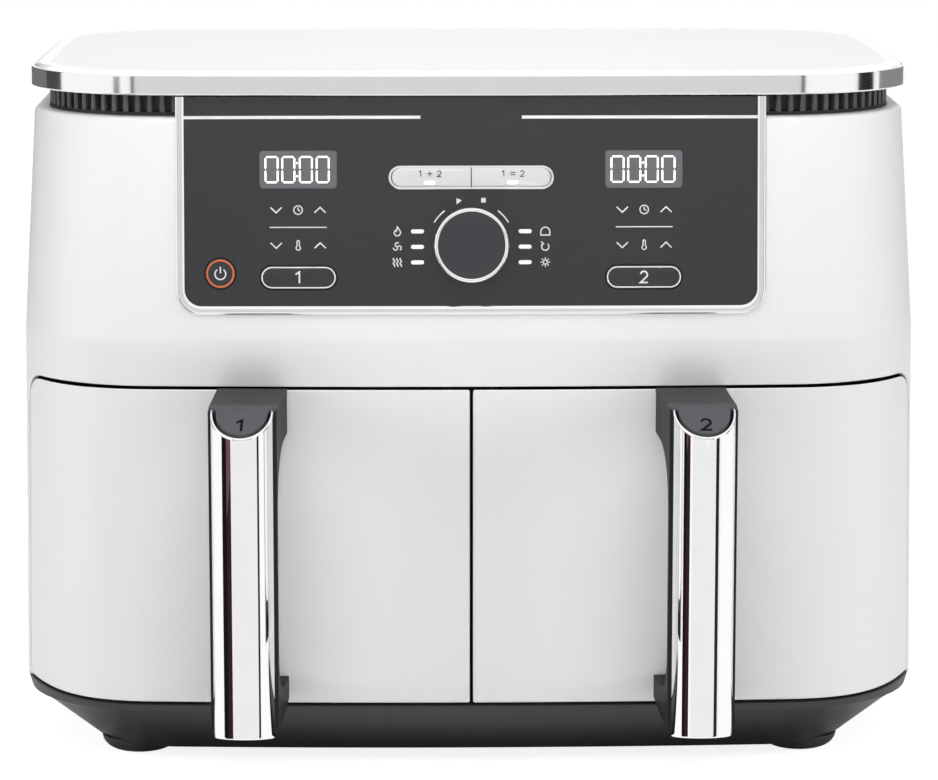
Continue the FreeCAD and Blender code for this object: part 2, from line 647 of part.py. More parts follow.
def crisper_plate():
    """Perforated plate with a turned-down edge, standing on four short legs."""
    x, y = crisper_span(CRISPER_Z, 0)
    radii = [BASKET_CORNER - BASKET_WALL - CRISPER_GAP] * 4
    tray = Part.Face(rounded(x, y, radii, CRISPER_Z - CRISPER_SKIRT)).extrude(V(0, 0, CRISPER_SKIRT))
    s = CRISPER_SHEET
    inner = rounded((x[0] + s, x[1] - s), (y[0] + s, y[1] - s), [r - s for r in radii], CRISPER_Z - CRISPER_SKIRT)
    tray = tray.cut(Part.Face(inner).extrude(V(0, 0, CRISPER_SKIRT - s)))
    floor = BASKET_Z[0] + BASKET_WALL + 0.2
    legs = [rod(3.5, floor, CRISPER_Z - s, lx, ly) for lx in (x[0] + 20, x[1] - 20) for ly in (y[0] + 20, y[1] - 20)]
    middle = V((x[0] + x[1]) / 2, (y[0] + y[1]) / 2, 0)
    holes = []
    for row in range(-5, 6):
        for column in range(-3, 4):
            shift = HOLE_PITCH / 2 if row % 2 else 0.0
            spot = middle + V(column * HOLE_PITCH + shift, row * HOLE_PITCH * 0.87, CRISPER_Z - 4)
            edge = spot.x > x[1] - 22 or abs(row) == 5 and abs(spot.x - middle.x) > 50
            if not edge:
                ring = Part.makePolygon([spot + V(HOLE_R * math.cos(a), HOLE_R * math.sin(a), 0) for a in
                                         [math.radians(60 * k) for k in range(7)]])
                holes.append(Part.Face(ring).extrude(V(0, 0, 8)))
    return fused([tray] + legs).cut(holes)


def plate_bumpers():
    """Soft pads on the plate's four sides, just clear of the basket."""
    x, y = crisper_span(CRISPER_Z, 0)
    reach = CRISPER_GAP - 0.4
    z = (CRISPER_Z - CRISPER_SKIRT, CRISPER_Z - 1.5)
    low_x, low_y = crisper_span(z[0], reach)
    pads = []
    for spot in (y[0] + 45, y[1] - 45):
        pads.append(box((low_x[0], x[0]), (spot - 9, spot + 9), z))
        pads.append(box((x[1], low_x[1]), (spot - 9, spot + 9), z))
    return Part.makeCompound(pads)


# Control panel

def zone_key_wire(side, grow):
    """Outline of a zone key, or of its hole."""
    u, v, length, height = ZONE_KEY
    return stadium(side * u, v, length, height, grow)


def lens_wire(side, v):
    """Outline of one light bar."""
    u, w, h = side * LENS_U, LENS_SIZE[0] / 2, LENS_SIZE[1] / 2
    return path(V(u - w, v - h, 0), V(u + w, v - h, 0), V(u + w, v + h, 0), V(u - w, v + h, 0))


def control_panel():
    """Dark leaning plate with key, window and lens openings, board posts and rocker ears."""
    u, v, r = POWER_KEY
    display_u, display_v, display_w, display_h = DISPLAY
    rv, rl, rh = ROCKER
    cuts = [post(u, v, r + KEY_CLEAR, -20, 20), post(0, DIAL_V, DIAL_SHAFT_R + 2.0, -20, 20)]
    wires = [stadium(0, rv, rl, rh, ROCKER_CLEAR + ROCKER_RIM)]
    for side in (-1, 1):
        wires.append(zone_key_wire(side, KEY_CLEAR))
        wires.append(bar(side * display_u, display_v, display_w, display_h, 1.8))
        wires += [lens_wire(side, lens_v) for lens_v in LENS_V]
    for wire in wires:
        block = Part.Face(wire).extrude(V(0, 0, 40))
        block.translate(V(0, 0, -20))
        cuts.append(block)
    plate = bowed(panel_outline(BEZEL), PANEL_BACK, PANEL_PROUD).cut(cuts)
    posts = [post(s * 112, pv, 3.0, BOARD_N, PANEL_BACK - 2.0) for s in (-1, 1) for pv in (34.0, 76.0)]
    ears = []
    for low in (rv - rh / 2 - 6.0, rv + rh / 2 + 2.5):
        ear = Part.makeBox(8, 3.5, 6, V(-4, low, PANEL_BACK - 5.8))
        ears.append(ear.cut(rocker_axle(1.25)))
    return on_panel(fused([plate] + posts + ears))


def panel_bezel():
    """Bright U frame round the panel."""
    return on_panel(bowed(panel_outline(0), PANEL_BACK, BEZEL_PROUD).cut(
        Part.Face(panel_outline(BEZEL)).extrude(V(0, 0, 90)).translated(V(0, 0, -45))))


def display_window(side):
    """Flush display window."""
    u, v, width, height = DISPLAY
    return on_panel(bowed(bar(side * u, v, width, height, 1.8), PANEL_BACK, PANEL_PROUD + 0.05))


def indicator_lenses():
    """Six small light bars, three on each side of the dial."""
    lenses = [bowed(lens_wire(s, v), PANEL_BACK, PANEL_PROUD + 0.15) for s in (-1, 1) for v in LENS_V]
    return on_panel(Part.makeCompound(lenses))


def power_key():
    """Round key with a retaining flange and a stem towards its switch."""
    u, v, r = POWER_KEY
    cap = bowed(Part.Wire([Part.makeCircle(r, V(u, v, 0))]), PANEL_BACK - 1.5, KEY_PROUD)
    back = PANEL_BACK - sag(u) - 1.2
    return on_panel(fused([cap, post(u, v, r + 1.4, back - 1.2, back), post(u, v, 2.0, stem_end(), back)]))


def zone_key(side):
    """Long key with a retaining flange and a stem towards its switch."""
    u, v, length, height = ZONE_KEY
    cap = bowed(zone_key_wire(side, 0), PANEL_BACK - 1.5, KEY_PROUD)
    back = PANEL_BACK - sag(u + length / 2) - 0.5
    flange = Part.Face(zone_key_wire(side, 1.2)).extrude(V(0, 0, 1.2))
    flange.translate(V(0, 0, back - 1.2))
    neck = Part.Face(zone_key_wire(side, 0)).extrude(V(0, 0, 2.6))
    neck.translate(V(0, 0, back - 1.2))
    return on_panel(fused([cap, neck, flange, post(side * u, v, 2.0, stem_end(), back)]))


def sag(u):
    """How far the bowed face falls back at a distance from its middle."""
    return FRONT_BOW - math.sqrt(FRONT_BOW ** 2 - u ** 2)


def stem_end():
    """Where a key's stem ends at rest, its travel and a hair above the switch."""
    return BOARD_N + 3.5 + KEY_TRAVEL + 0.3


def rocker_axle(radius):
    """Rod up the slope on which the mode bar rocks."""
    rv, _, rh = ROCKER
    return Part.makeCylinder(radius, rh + 14.0, V(0, rv - rh / 2 - 7.0, PANEL_BACK - 3.4), V(0, 1, 0))


def mode_rocker():
    """Pale two-way bar with a lug and trunnions behind."""
    rv, rl, rh = ROCKER
    cap = bowed(stadium(0, rv, rl, rh), PANEL_BACK + 0.4, KEY_PROUD)
    lug = Part.makeBox(5.0, rh - 1.0, 5.2, V(-2.5, rv - rh / 2 + 0.5, PANEL_BACK - 4.6))
    return on_panel(fused([cap, lug, rocker_axle(1.2)]))


def rocker_surround():
    """Thin rim in the panel round the mode bar."""
    rv, rl, rh = ROCKER
    outer = bowed(stadium(0, rv, rl, rh, ROCKER_CLEAR + ROCKER_RIM), PANEL_BACK, PANEL_PROUD + 0.5)
    hole = Part.Face(stadium(0, rv, rl, rh, ROCKER_CLEAR)).extrude(V(0, 0, 90))
    return on_panel(outer.cut(hole.translated(V(0, 0, -45))))


def dial_rim():
    """Silver ring of the dial."""
    low, high = DIAL_N
    profile = path(V(DIAL_FACE_R, 0, low), V(DIAL_R, 0, low), V(DIAL_R, 0, high - 0.8),
                   V(DIAL_R - 0.8, 0, high), V(DIAL_FACE_R, 0, high))
    ring = Part.Face(profile).revolve(V(0, 0, 0), V(0, 0, 1), 360)
    return on_panel(ring.translated(V(0, DIAL_V, 0)))


def dial_cap():
    """Dark dial face, a little dished, with a socket for its shaft."""
    low, high = DIAL_N
    profile = path(V(0, 0, low + 5), V(DIAL_SHAFT_R, 0, low + 5), V(DIAL_SHAFT_R, 0, low),
                   V(DIAL_FACE_R, 0, low), V(DIAL_FACE_R, 0, high - 0.3),
                   V(DIAL_FACE_R - 1.2, 0, high - 0.9), V(0, 0, high - 0.9))
    cap = Part.Face(profile).revolve(V(0, 0, 0), V(0, 0, 1), 360)
    return on_panel(cap.translated(V(0, DIAL_V, 0)))


def dial_shaft():
    """Shaft from the dial back to the encoder's plunger."""
    return on_panel(post(0, DIAL_V, DIAL_SHAFT_R, BOARD_N + 3.9, DIAL_N[0] + 5))


def encoder_body():
    """Encoder can on the board, with a running bore for the shaft and room for the plunger."""
    can = bar(0, DIAL_V, 13.0, 13.0, 1.0)
    block = Part.Face(can).extrude(V(0, 0, 6.5)).translated(V(0, 0, BOARD_N))
    bush = post(0, DIAL_V, 4.8, BOARD_N + 6.5, BOARD_N + 9.5)
    room = post(0, DIAL_V, 4.6, BOARD_N + 0.6, BOARD_N + 4.3)
    return on_panel(fused([block, bush]).cut([room, post(0, DIAL_V, DIAL_SHAFT_R + 0.05, BOARD_N, 0)]))


def encoder_plunger():
    """Disc under the shaft that a press on the dial pushes in."""
    return on_panel(post(0, DIAL_V, 4.2, BOARD_N + 2.3, BOARD_N + 3.85))


def control_board():
    """Circuit board on the panel's posts."""
    sheet = bar(0, 45.0, 244.0, 76.0, 3.0)
    return on_panel(Part.Face(sheet).extrude(V(0, 0, -BOARD_SHEET)).translated(V(0, 0, BOARD_N)))


def tact_switches():
    """Switches under the keys and under both ends of the mode bar."""
    keys = [POWER_KEY[:2]] + [(s * ZONE_KEY[0], ZONE_KEY[1]) for s in (-1, 1)]
    switches = [(u, v, 3.5) for u, v in keys] + [(s * 27.0, ROCKER[0], 10.1) for s in (-1, 1)]
    solids = []
    for u, v, tall in switches:
        block = Part.makeBox(6, 6, tall - 1.0, V(u - 3, v - 3, BOARD_N))
        solids.append(fused([block, post(u, v, 1.7, BOARD_N + tall - 1.0, BOARD_N + tall)]))
    return on_panel(Part.makeCompound(solids))


def power_board():
    """Mains board along the gap between the fan domes, with its large parts standing on it."""
    low = CHAMBER_Z[1]
    sheet_z = (low + 8, low + 9.6)
    y = (FRONT + 68.0, FRONT + 236.0)
    parts = [box((-26, 26), y, sheet_z)]
    parts += [rod(3.0, low, sheet_z[0], x, py) for x in (-20, 20) for py in (y[0] + 8, y[1] - 8)]
    parts.append(box((-18, 18), (y[0] + 20, y[0] + 58), (sheet_z[1], sheet_z[1] + 28)))
    parts += [rod(8.0, sheet_z[1], sheet_z[1] + 25, x, y[0] + 78) for x in (-12, 12)]
    parts += [box((-8, 8), (py, py + 20), (sheet_z[1], sheet_z[1] + 16)) for py in (y[0] + 98, y[0] + 128)]
    return fused(parts)


def pieces():
    """Every piece by the name it is kept under."""
    made = {
        "outer_shell": outer_shell(),
        "rear_grille": rear_grille(),
        "cord_gland": cord_gland(),
        "base_tray": base_tray(),
        "bottom_plate": bottom_plate(),
        "base_screws": base_screws(),
        "vent_collar": vent_collar(),
        "lid_trim": lid_trim(),
        "top_cover": top_cover(),
        "front_frame": front_frame(),
        "control_panel": control_panel(),
        "panel_bezel": panel_bezel(),
        "indicator_lenses": indicator_lenses(),
        "power_key": power_key(),
        "mode_rocker": mode_rocker(),
        "rocker_surround": rocker_surround(),
        "dial_rim": dial_rim(),
        "dial_cap": dial_cap(),
        "dial_shaft": dial_shaft(),
        "encoder_body": encoder_body(),
        "encoder_plunger": encoder_plunger(),
        "control_board": control_board(),
        "tact_switches": tact_switches(),
        "power_board": power_board(),
    }
    for end, y in (("front", FRONT + FOOT_INSET), ("rear", BACK - FOOT_INSET)):
        for side, x in (("left", -FOOT_X), ("right", FOOT_X)):
            made["foot_%s_%s" % (end, side)] = foot(x, y)
    zone_pieces = (chamber, heater, motor, motor_shaft, convection_fan, cooling_fan, drawer_front,
                   drawer_liner, basket, handle, handle_cover, crisper_plate, plate_bumpers)
    for make in zone_pieces:
        right = make()
        for number, side in ((1, -1), (2, 1)):
            made["%s_%d" % (make.__name__, number)] = zone(right, side)
    for number, side in ((1, -1), (2, 1)):
        made["display_window_%d" % number] = display_window(side)
        made["zone_key_%d" % number] = zone_key(side)
    return made


os.makedirs("parts", exist_ok=True)
for name, shape in pieces().items():
    shape.exportStep("parts/%s.step" % name)
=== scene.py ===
import json
import math

import bmesh
import bpy
import numpy as np
from bpy.props import FloatProperty, FloatVectorProperty, PointerProperty
from mathutils import Matrix, Vector
from mathutils.geometry import delaunay_2d_cdt


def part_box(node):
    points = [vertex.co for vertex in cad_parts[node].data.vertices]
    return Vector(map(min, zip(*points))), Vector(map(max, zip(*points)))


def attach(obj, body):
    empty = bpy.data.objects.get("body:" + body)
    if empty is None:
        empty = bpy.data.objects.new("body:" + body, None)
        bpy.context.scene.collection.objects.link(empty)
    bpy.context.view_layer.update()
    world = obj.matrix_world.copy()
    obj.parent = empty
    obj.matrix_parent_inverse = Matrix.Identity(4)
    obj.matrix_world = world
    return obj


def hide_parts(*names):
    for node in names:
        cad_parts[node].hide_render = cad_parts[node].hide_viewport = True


bl_info = {
    "name": "Two-drawer air fryer",
    "version": (1, 0, 0),
    "blender": (4, 2, 0),
    "location": "View3D > Sidebar > Air fryer",
    "description": "Builds the surfaces, prints, materials and stage of a two-drawer air fryer",
    "category": "Object",
}

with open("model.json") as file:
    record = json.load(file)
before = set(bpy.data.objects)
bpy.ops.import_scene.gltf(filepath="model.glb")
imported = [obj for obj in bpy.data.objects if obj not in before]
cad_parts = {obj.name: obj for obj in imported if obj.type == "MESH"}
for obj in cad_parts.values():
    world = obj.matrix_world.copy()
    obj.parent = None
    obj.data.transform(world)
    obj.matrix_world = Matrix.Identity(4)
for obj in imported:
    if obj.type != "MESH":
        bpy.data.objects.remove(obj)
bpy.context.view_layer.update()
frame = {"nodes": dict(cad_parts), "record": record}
MM, WELD = 0.001, 2e-6
SIDES = (("1", -1), ("2", 1))


def node_box(node):
    """Low and high corner of a node of the frame, in millimetres."""
    low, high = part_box(node)
    return np.array(low) / MM, np.array(high) / MM


# Housing, in millimetres: places given by the frame, then heights, bows and corner radii
SHELL_LOW, SHELL_HIGH = node_box("outer_shell")
LID_LOW, LID_HIGH = node_box("lid_trim")
FRONT, BACK, HALF = SHELL_LOW[1], 168.5, 207.5
Z_SEAM, Z_RIM, Z_LID = SHELL_LOW[2], SHELL_HIGH[2], LID_LOW[2]
Z_TOP = node_box("top_cover")[1][2]
Z_CREASE, Z_DRAWER_TOP = 199.5, 178.5
FRONT_BOW, SIDE_BOW, BACK_BOW = 2500.0, 5000.0, 4000.0
FRONT_CORNER, REAR_CORNER, LID_REAR_CORNER = 64.0, 56.0, 70.0

# How far each face leans in per millimetre of height; the sides and the back lean less below the crease
LOWER_RUN, UPPER_RUN, FRONT_IN = 167.5, 99.0, 11.0
FRONT_LEAN = FRONT_IN / UPPER_RUN
SIDE_LEAN, BACK_LEAN = (2.0 / LOWER_RUN, 5.2 / UPPER_RUN), (0.8 / LOWER_RUN, 2.2 / UPPER_RUN)

# Drawer fronts, whose wings wrap round the corners, with the seams beside them and the panel's window above
WING, WING_ROUND, GAP, TOP_GAP = 50.0, 15.0, 1.35, 0.95
SEAM_RISE, SEAM_START, BAND_IN = 3.2, 8.0, 1.6
WINDOW, WINDOW_LOW = 126.0, 217.0

# How much further out the feet stand than the frame's
FOOT_OUT = 3.6

# Handles: place and splay in degrees, half widths, sizes out of the drawer's face, and the bend of the cap
HANDLE_X, SPLAY = 98.3, 2.95
GRIP_HALF, ROOT_HALF, SHINE_HALF = 15.0, 15.75, 13.7
REACH, NOSE = 62.0, 14.0
AXIS = REACH - NOSE
HANDLE_LOW, CAP_TOP = 34.0, 177.5
CAP_SLOPE, BEND_FROM, BEND = 0.69, 43.0, 6.0

# Panel: lower edge, lean and axes, then the places of its parts as u to the right and v up
PANEL_LOW = 211.3
LEAN = math.atan2(FRONT_IN, UPPER_RUN)
PANEL_ORIGIN = np.array([0.0, FRONT + FRONT_IN * (PANEL_LOW - Z_CREASE) / UPPER_RUN, PANEL_LOW])
PANEL_UP = np.array([0.0, math.sin(LEAN), math.cos(LEAN)])
PANEL_OUT = np.array([0.0, -math.cos(LEAN), math.sin(LEAN)])
ZONE_U, SCREEN_V, ZONE_V = 77.1, 64.8, 16.7
ARROW_U, TIME_V, HEAT_V, RULE_V, STRIPE_V = 77.2, 46.8, 31.0, 39.1, 88.0
MODE_U, MODE_V = 18.5, 61.2
POWER_U, POWER_V = -112.0, 18.5
DIAL_V, DIAL_LOW, DIAL_HIGH = 31.2, 2.3, 10.5
BAR_U, BAR_ROWS = 24.0, (23.4, 30.3, 37.2)

# Openings of the panel: width, height and corner radius
SCREEN_SIZE, ZONE_SIZE, BAR_SIZE = (34.9, 17.2, 1.9), (34.9, 11.3, 5.6), (6.0, 2.0, 0.95)


# Sizes and colours that a user would change

def length_setting(name, text, size, least):
    """A length setting from millimetres."""
    return FloatProperty(name=name, description=text, default=size * MM, min=least * MM, unit="LENGTH")


def colour_setting(name, text, default):
    """A colour setting from linear red, green and blue."""
    return FloatVectorProperty(name=name, description=text, default=default, min=0, max=1, size=3, subtype="COLOR")


def power_setting(name, text, watts):
    """A light's power setting."""
    return FloatProperty(name=name, description=text, default=watts, min=0, unit="POWER")


class BodyLook(bpy.types.PropertyGroup):
    """Edges of the housing."""
    crease_ease: length_setting("Crease ease", "Half height of the soft bend above the drawers", 1.8, 0.5)
    rim_round: length_setting("Rim round", "Radius of the housing's top edge", 2.4, 0.5)
    edge_round: length_setting("Edge round", "Radius of the drawer fronts' edges", 0.8, 0.1)
    fin_pitch: length_setting("Fin pitch", "Distance between the vent's fins", 5.4, 3.0)
    fin_width: length_setting("Fin width", "Width of a vent fin at its foot", 2.7, 0.5)


class PanelLook(bpy.types.PropertyGroup):
    """Prints of the control panel."""
    stroke: length_setting("Stroke", "Width of the printed lines", 0.58, 0.2)
    stripe: length_setting("Stripe", "Height of the two long stripes", 1.4, 0.2)
    digit_height: length_setting("Digit height", "Height of the display digits", 12.2, 4.0)


class FinishLook(bpy.types.PropertyGroup):
    """Colours of the main surfaces."""
    body: colour_setting("Body", "White mouldings", (0.85, 0.85, 0.85))
    base: colour_setting("Base", "Dark base", (0.028, 0.028, 0.030))
    panel: colour_setting("Panel", "Control panel", (0.018, 0.018, 0.021))
    handle: colour_setting("Handle", "Dark handle body", (0.050, 0.051, 0.055))
    chrome: colour_setting("Chrome", "Bright trim", (0.97, 0.97, 0.97))
    ring: colour_setting("Power ring", "Printed ring of the power key", (0.60, 0.13, 0.045))


class StageLook(bpy.types.PropertyGroup):
    """Light and camera."""
    ambient: FloatProperty(name="Ambient", description="Even light from all around", default=0.2, min=0)
    top_light: power_setting("Top light", "Power of the light above", 19)
    front_light: power_setting("Front light", "Power of the light behind the camera", 10.2)
    fascia_light: power_setting("Fascia light", "Power of the light on the upper front", 0.62)
    low_light: power_setting("Low light", "Power of the light on the lower front", 1.02)
    side_light: power_setting("Side lights", "Power of each light beside the part", 1.1)
    lens: FloatProperty(name="Lens", description="Focal length in millimetres", default=149.03, min=10)


# Shader nodes

class Wire:
    """A shader socket that takes part in sums; each sum becomes a Math node."""

    def __init__(self, finish, socket):
        self.finish, self.socket = finish, socket

    def sum(self, operation, first, second):
        """Result of a Math node with two inputs."""
        return self.finish.node("ShaderNodeMath", {"operation": operation}, {0: first, 1: second})

    def __add__(self, other):
        return self.sum("ADD", self, other)

    def __sub__(self, other):
        return self.sum("SUBTRACT", self, other)

    def __rsub__(self, other):
        return self.sum("SUBTRACT", other, self)

    def __mul__(self, other):
        return self.sum("MULTIPLY", self, other)

    __radd__, __rmul__ = __add__, __mul__


class Finish:
    """A procedural material around one Principled shader."""

    def __init__(self, name, **constants):
        """A new material with constant inputs, whose names have _ in place of a space."""
        self.material = bpy.data.materials.new(name)
        self.material.use_nodes = True
        self.nodes = self.material.node_tree.nodes
        self.links = self.material.node_tree.links
        self.shader = self.nodes["Principled BSDF"]
        for socket, value in constants.items():
            self.shader.inputs[socket.replace("_", " ")].default_value = value
        self.place = self.node("ShaderNodeTexCoord", {}, {}, "Object")

    def node(self, kind, settings, inputs, output=0):
        """A node of a type, with its settings made first and then its sockets; gives one output."""
        made = self.nodes.new(kind)
        for setting, value in settings.items():
            setattr(made, setting, value)
        for socket, value in inputs.items():
            if isinstance(value, Wire):
                self.links.new(value.socket, made.inputs[socket])
            else:
                made.inputs[socket].default_value = value
        return Wire(self, made.outputs[output])

    def noise(self, scale, detail=3.0, stretch=(1, 1, 1)):
        """Noise between 0 and 1 over the object's own place, in cycles per metre."""
        spot = self.node("ShaderNodeVectorMath", {"operation": "MULTIPLY"}, {0: self.place, 1: stretch})
        return self.node("ShaderNodeTexNoise", {}, {"Vector": spot, "Scale": scale, "Detail": detail})

    def mix(self, factor, first, second):
        """Colour between two colours."""
        return self.node("ShaderNodeMix", {"data_type": "RGBA"}, {0: factor, 6: (*first, 1), 7: (*second, 1)}, 2)

    def bump(self, height, distance, strength):
        """Relief as high as a noise times a distance in metres, at a strength."""
        return self.node("ShaderNodeBump", {}, {"Height": height, "Distance": distance, "Strength": strength})

    def tinted(self, noise, colour, share):
        """A colour that a noise makes darker and lighter by a share."""
        return self.mix(noise, shade(colour, 1 - share), shade(colour, 1 + share))

    def varied(self, noise, middle, spread):
        """A number that a noise spreads about a middle value."""
        return noise * spread + (middle - spread / 2)

    def grained(self, scale, depth):
        """Fine grain of a moulded surface."""
        return self.bump(self.noise(scale, 2.0), depth, 0.25)

    def set(self, **wires):
        """Links wires to the shader's sockets and gives the material."""
        for socket, wire in wires.items():
            self.links.new(wire.socket, self.shader.inputs[socket.replace("_", " ")])
        return self.material


def shade(colour, factor):
    """A colour made lighter or darker."""
    return tuple(min(1.0, c * factor) for c in colour)


# Moulded plastic: slow change of its gloss in cycles per metre, how much the gloss changes, and the grain in metres
CLOUD_SCALE, GLOSS_SPREAD, GRAIN_DEPTH = 14.0, 0.08, 0.00004


def moulded(name, colour, roughness, grain, cloud, coat=0.0, depth=GRAIN_DEPTH):
    """Moulded plastic: a fine grain, slow cloudiness of the gloss and a faint shift of tone."""
    f = Finish(name, Coat_Weight=coat, Coat_Roughness=0.06)
    slow = f.noise(CLOUD_SCALE)
    return f.set(Base_Color=f.tinted(slow, colour, cloud), Roughness=f.varied(slow, roughness, GLOSS_SPREAD),
                 Normal=f.grained(grain, depth))


def painted_shade_plastic(name, colour, roughness, tones, reach):
    """Moulded plastic with painted shade and light: its colour goes from darker near the drawer's face to lighter
    further out, between two distances in front of the drawer's face.
    """
    f = Finish(name, Specular_IOR_Level=0.12)
    depth = f.node("ShaderNodeSeparateXYZ", {}, {0: f.place}, 1)
    near = ((FRONT - reach[0]) * MM - depth) * (1 / ((reach[1] - reach[0]) * MM))
    return f.set(Base_Color=f.mix(near, shade(colour, tones[0]), shade(colour, tones[1])),
                 Roughness=f.varied(f.noise(CLOUD_SCALE), roughness, GLOSS_SPREAD),
                 Normal=f.grained(3000.0, GRAIN_DEPTH))


def metal(name, colour, roughness, stretch=(1, 1, 1), scale=60.0, depth=0.0):
    """Metal whose gloss varies a little, along a grain when stretched."""
    f = Finish(name, Metallic=1.0)
    grain = f.noise(scale, 4.0, stretch)
    wires = {"Base_Color": f.tinted(grain, colour, 0.03), "Roughness": f.varied(grain, roughness, roughness * 0.5)}
    if depth:
        wires["Normal"] = f.bump(grain, depth, 0.4)
    return f.set(**wires)


def printed(name, colour, glow=0.0, shine=0.5):
    """Printed ink, or a lit mark when it glows."""
    f = Finish(name, Emission_Strength=glow, Specular_IOR_Level=shine)
    slow = f.noise(400.0)
    tone = f.tinted(slow, colour, 0.04)
    wires = {"Base_Color": tone, "Roughness": f.varied(slow, 0.4, 0.1)}
    if glow:
        wires["Emission_Color"] = tone
    return f.set(**wires)


def speckled(name, colour, fleck, roughness):
    """Non-stick coat: dark with fine pale flecks."""
    f = Finish(name, Coat_Weight=0.2)
    dots = f.node("ShaderNodeTexVoronoi", {}, {"Vector": f.place, "Scale": 900.0}, "Distance")
    flecks = f.node("ShaderNodeMath", {"operation": "LESS_THAN"}, {0: dots, 1: 0.16})
    return f.set(Base_Color=f.mix(flecks * 0.55, colour, fleck), Roughness=f.varied(f.noise(25.0), roughness, 0.1),
                 Normal=f.bump(f.noise(2500.0, 2.0), 0.00003, 0.3))


def board(name):
    """Circuit board: green lacquer with a paler grid of tracks."""
    f = Finish(name)
    tracks = f.node("ShaderNodeTexBrick", {"offset": 0.3},
                    {"Vector": f.place, "Scale": 120.0, "Mortar Size": 0.02}, "Fac")
    return f.set(Base_Color=f.mix(tracks, (0.01, 0.09, 0.035), (0.04, 0.20, 0.07)),
                 Roughness=f.varied(f.noise(80.0), 0.4, 0.2))


def make_finishes(look):
    """All materials by name: those of the record's slots, and those of the prints and trims beside them.

    After the name, moulded takes colour, roughness, grain, cloud, coat and depth; metal takes colour, roughness,
    stretch, scale and depth; printed takes colour, glow and shine; the plastic with painted shade takes colour,
    roughness, tones and reach.
    """
    panel, handle, chrome = tuple(look.panel), tuple(look.handle), tuple(look.chrome)
    even = (1, 1, 1)
    rows = [
        (moulded, "white_body", tuple(look.body), 0.36, 2200.0, 0.006),
        # Whiter than the body as a painted highlight along the lid's rounded edge; the clear coat is real gloss
        (moulded, "white_rim", (0.96, 0.96, 0.96), 0.3, 2200.0, 0.004, 1.0),
        (moulded, "dark_base", tuple(look.base), 0.48, 3000.0, 0.04),
        (moulded, "black_plastic", (0.007, 0.007, 0.0075), 0.5, 2500.0, 0.1),
        (metal, "bright_trim", shade(chrome, 0.96), 0.11),
        (metal, "handle_bright", chrome, 0.035),
        # The handle's cap and body get painted shade and light: darker at the root by the drawer, lighter towards the
        # nose
        (painted_shade_plastic, "handle_dark", handle, 0.55, (0.75, 2.1), (34.0, 47.0)),
        (painted_shade_plastic, "handle_core", handle, 0.5, (0.12, 0.4), (0.0, 50.0)),
        # Near black: the ink of the handle numbers, and painted shade on the handle's filler in the groove under the
        # cap
        (printed, "deep_black", (0.002, 0.002, 0.0022), 0.0, 0.1),
        # Dark grey, lighter than the collar's black plastic of the same moulding: painted sheen of the glossy fins
        (moulded, "fin_plastic", (0.085, 0.085, 0.088), 0.35, 2500.0, 0.1),
        (moulded, "panel_face", panel, 0.34, 1500.0, 0.02, 0.25, 0.00001),
        (moulded, "display_face", (0.125, 0.122, 0.130), 0.30, 1500.0, 0.02, 0.3, 0.00001),
        (printed, "clear_lens", (0.85, 0.86, 0.87), 0.25),
        (moulded, "key_plastic", shade(panel, 1.05), 0.36, 1500.0, 0.02, 0.2, 0.00001),
        (moulded, "pale_key", (0.66, 0.66, 0.665), 0.35, 1800.0, 0.01),
        (metal, "dial_face", (0.085, 0.088, 0.094), 0.42, even, 500.0),
        (moulded, "foot_rubber", (0.035, 0.035, 0.036), 0.62, 1200.0, 0.08),
        (moulded, "soft_rubber", (0.42, 0.42, 0.43), 0.6, 1200.0, 0.04),
        (speckled, "nonstick", (0.022, 0.022, 0.024), (0.20, 0.20, 0.21), 0.42),
        (metal, "chamber_steel", (0.56, 0.56, 0.57), 0.3, (1, 14, 1), 60.0, 0.00002),
        (metal, "heater_steel", (0.20, 0.19, 0.18), 0.5, even, 150.0, 0.00004),
        (metal, "shaft_steel", (0.62, 0.62, 0.63), 0.22, (1, 1, 12), 90.0),
        (metal, "screw_steel", (0.55, 0.55, 0.54), 0.3, even, 400.0),
        (metal, "fan_metal", (0.66, 0.66, 0.67), 0.34, even, 120.0, 0.00002),
        (metal, "motor_metal", (0.34, 0.34, 0.35), 0.4, (1, 1, 8), 80.0, 0.00002),
        (moulded, "switch_plastic", (0.03, 0.03, 0.032), 0.45, 1500.0, 0.08),
        (board, "circuit_board"),
        (printed, "ink_white", (0.80, 0.80, 0.80)),
        (printed, "ink_dark", (0.02, 0.02, 0.022)),
        (printed, "lit_marks", (0.92, 0.93, 0.94), 0.55),
        (printed, "power_ring", tuple(look.ring), 0.12),
    ]
    return {name: kind(name, *rest) for kind, name, *rest in rows}


# Meshes from whole arrays

def grid_faces(rows, columns, close_rows, close_columns):
    """Quads over a grid of points kept row by row, joined round where a direction is closed."""
    r, c = np.meshgrid(np.arange(rows - (not close_rows)), np.arange(columns - (not close_columns)), indexing="ij")
    up, across = (r + 1) % rows, (c + 1) % columns
    return np.stack([r * columns + c, r * columns + across, up * columns + across, up * columns + c], -1).reshape(-1, 4)


def grid(points, close_rows=False, close_columns=False, caps=(False, False)):
    """Mesh part from points of shape (rows, columns, 3), with a face over the first or last row when asked."""
    rows, columns = points.shape[:2]
    faces = grid_faces(rows, columns, close_rows, close_columns).tolist()
    if caps[0]:
        faces.append(list(range(columns))[::-1])
    if caps[1]:
        faces.append(list(range((rows - 1) * columns, rows * columns)))
    return points.reshape(-1, 3), faces


def solid(rows):
    """Closed part from rings of points: quads between neighbours, and a face over the first and the last ring."""
    return grid(np.asarray(rows), False, True, (True, True))


def hoop(rows):
    """Closed part from rings of points, with the last ring joined to the first."""
    return grid(np.asarray(rows), True, True)


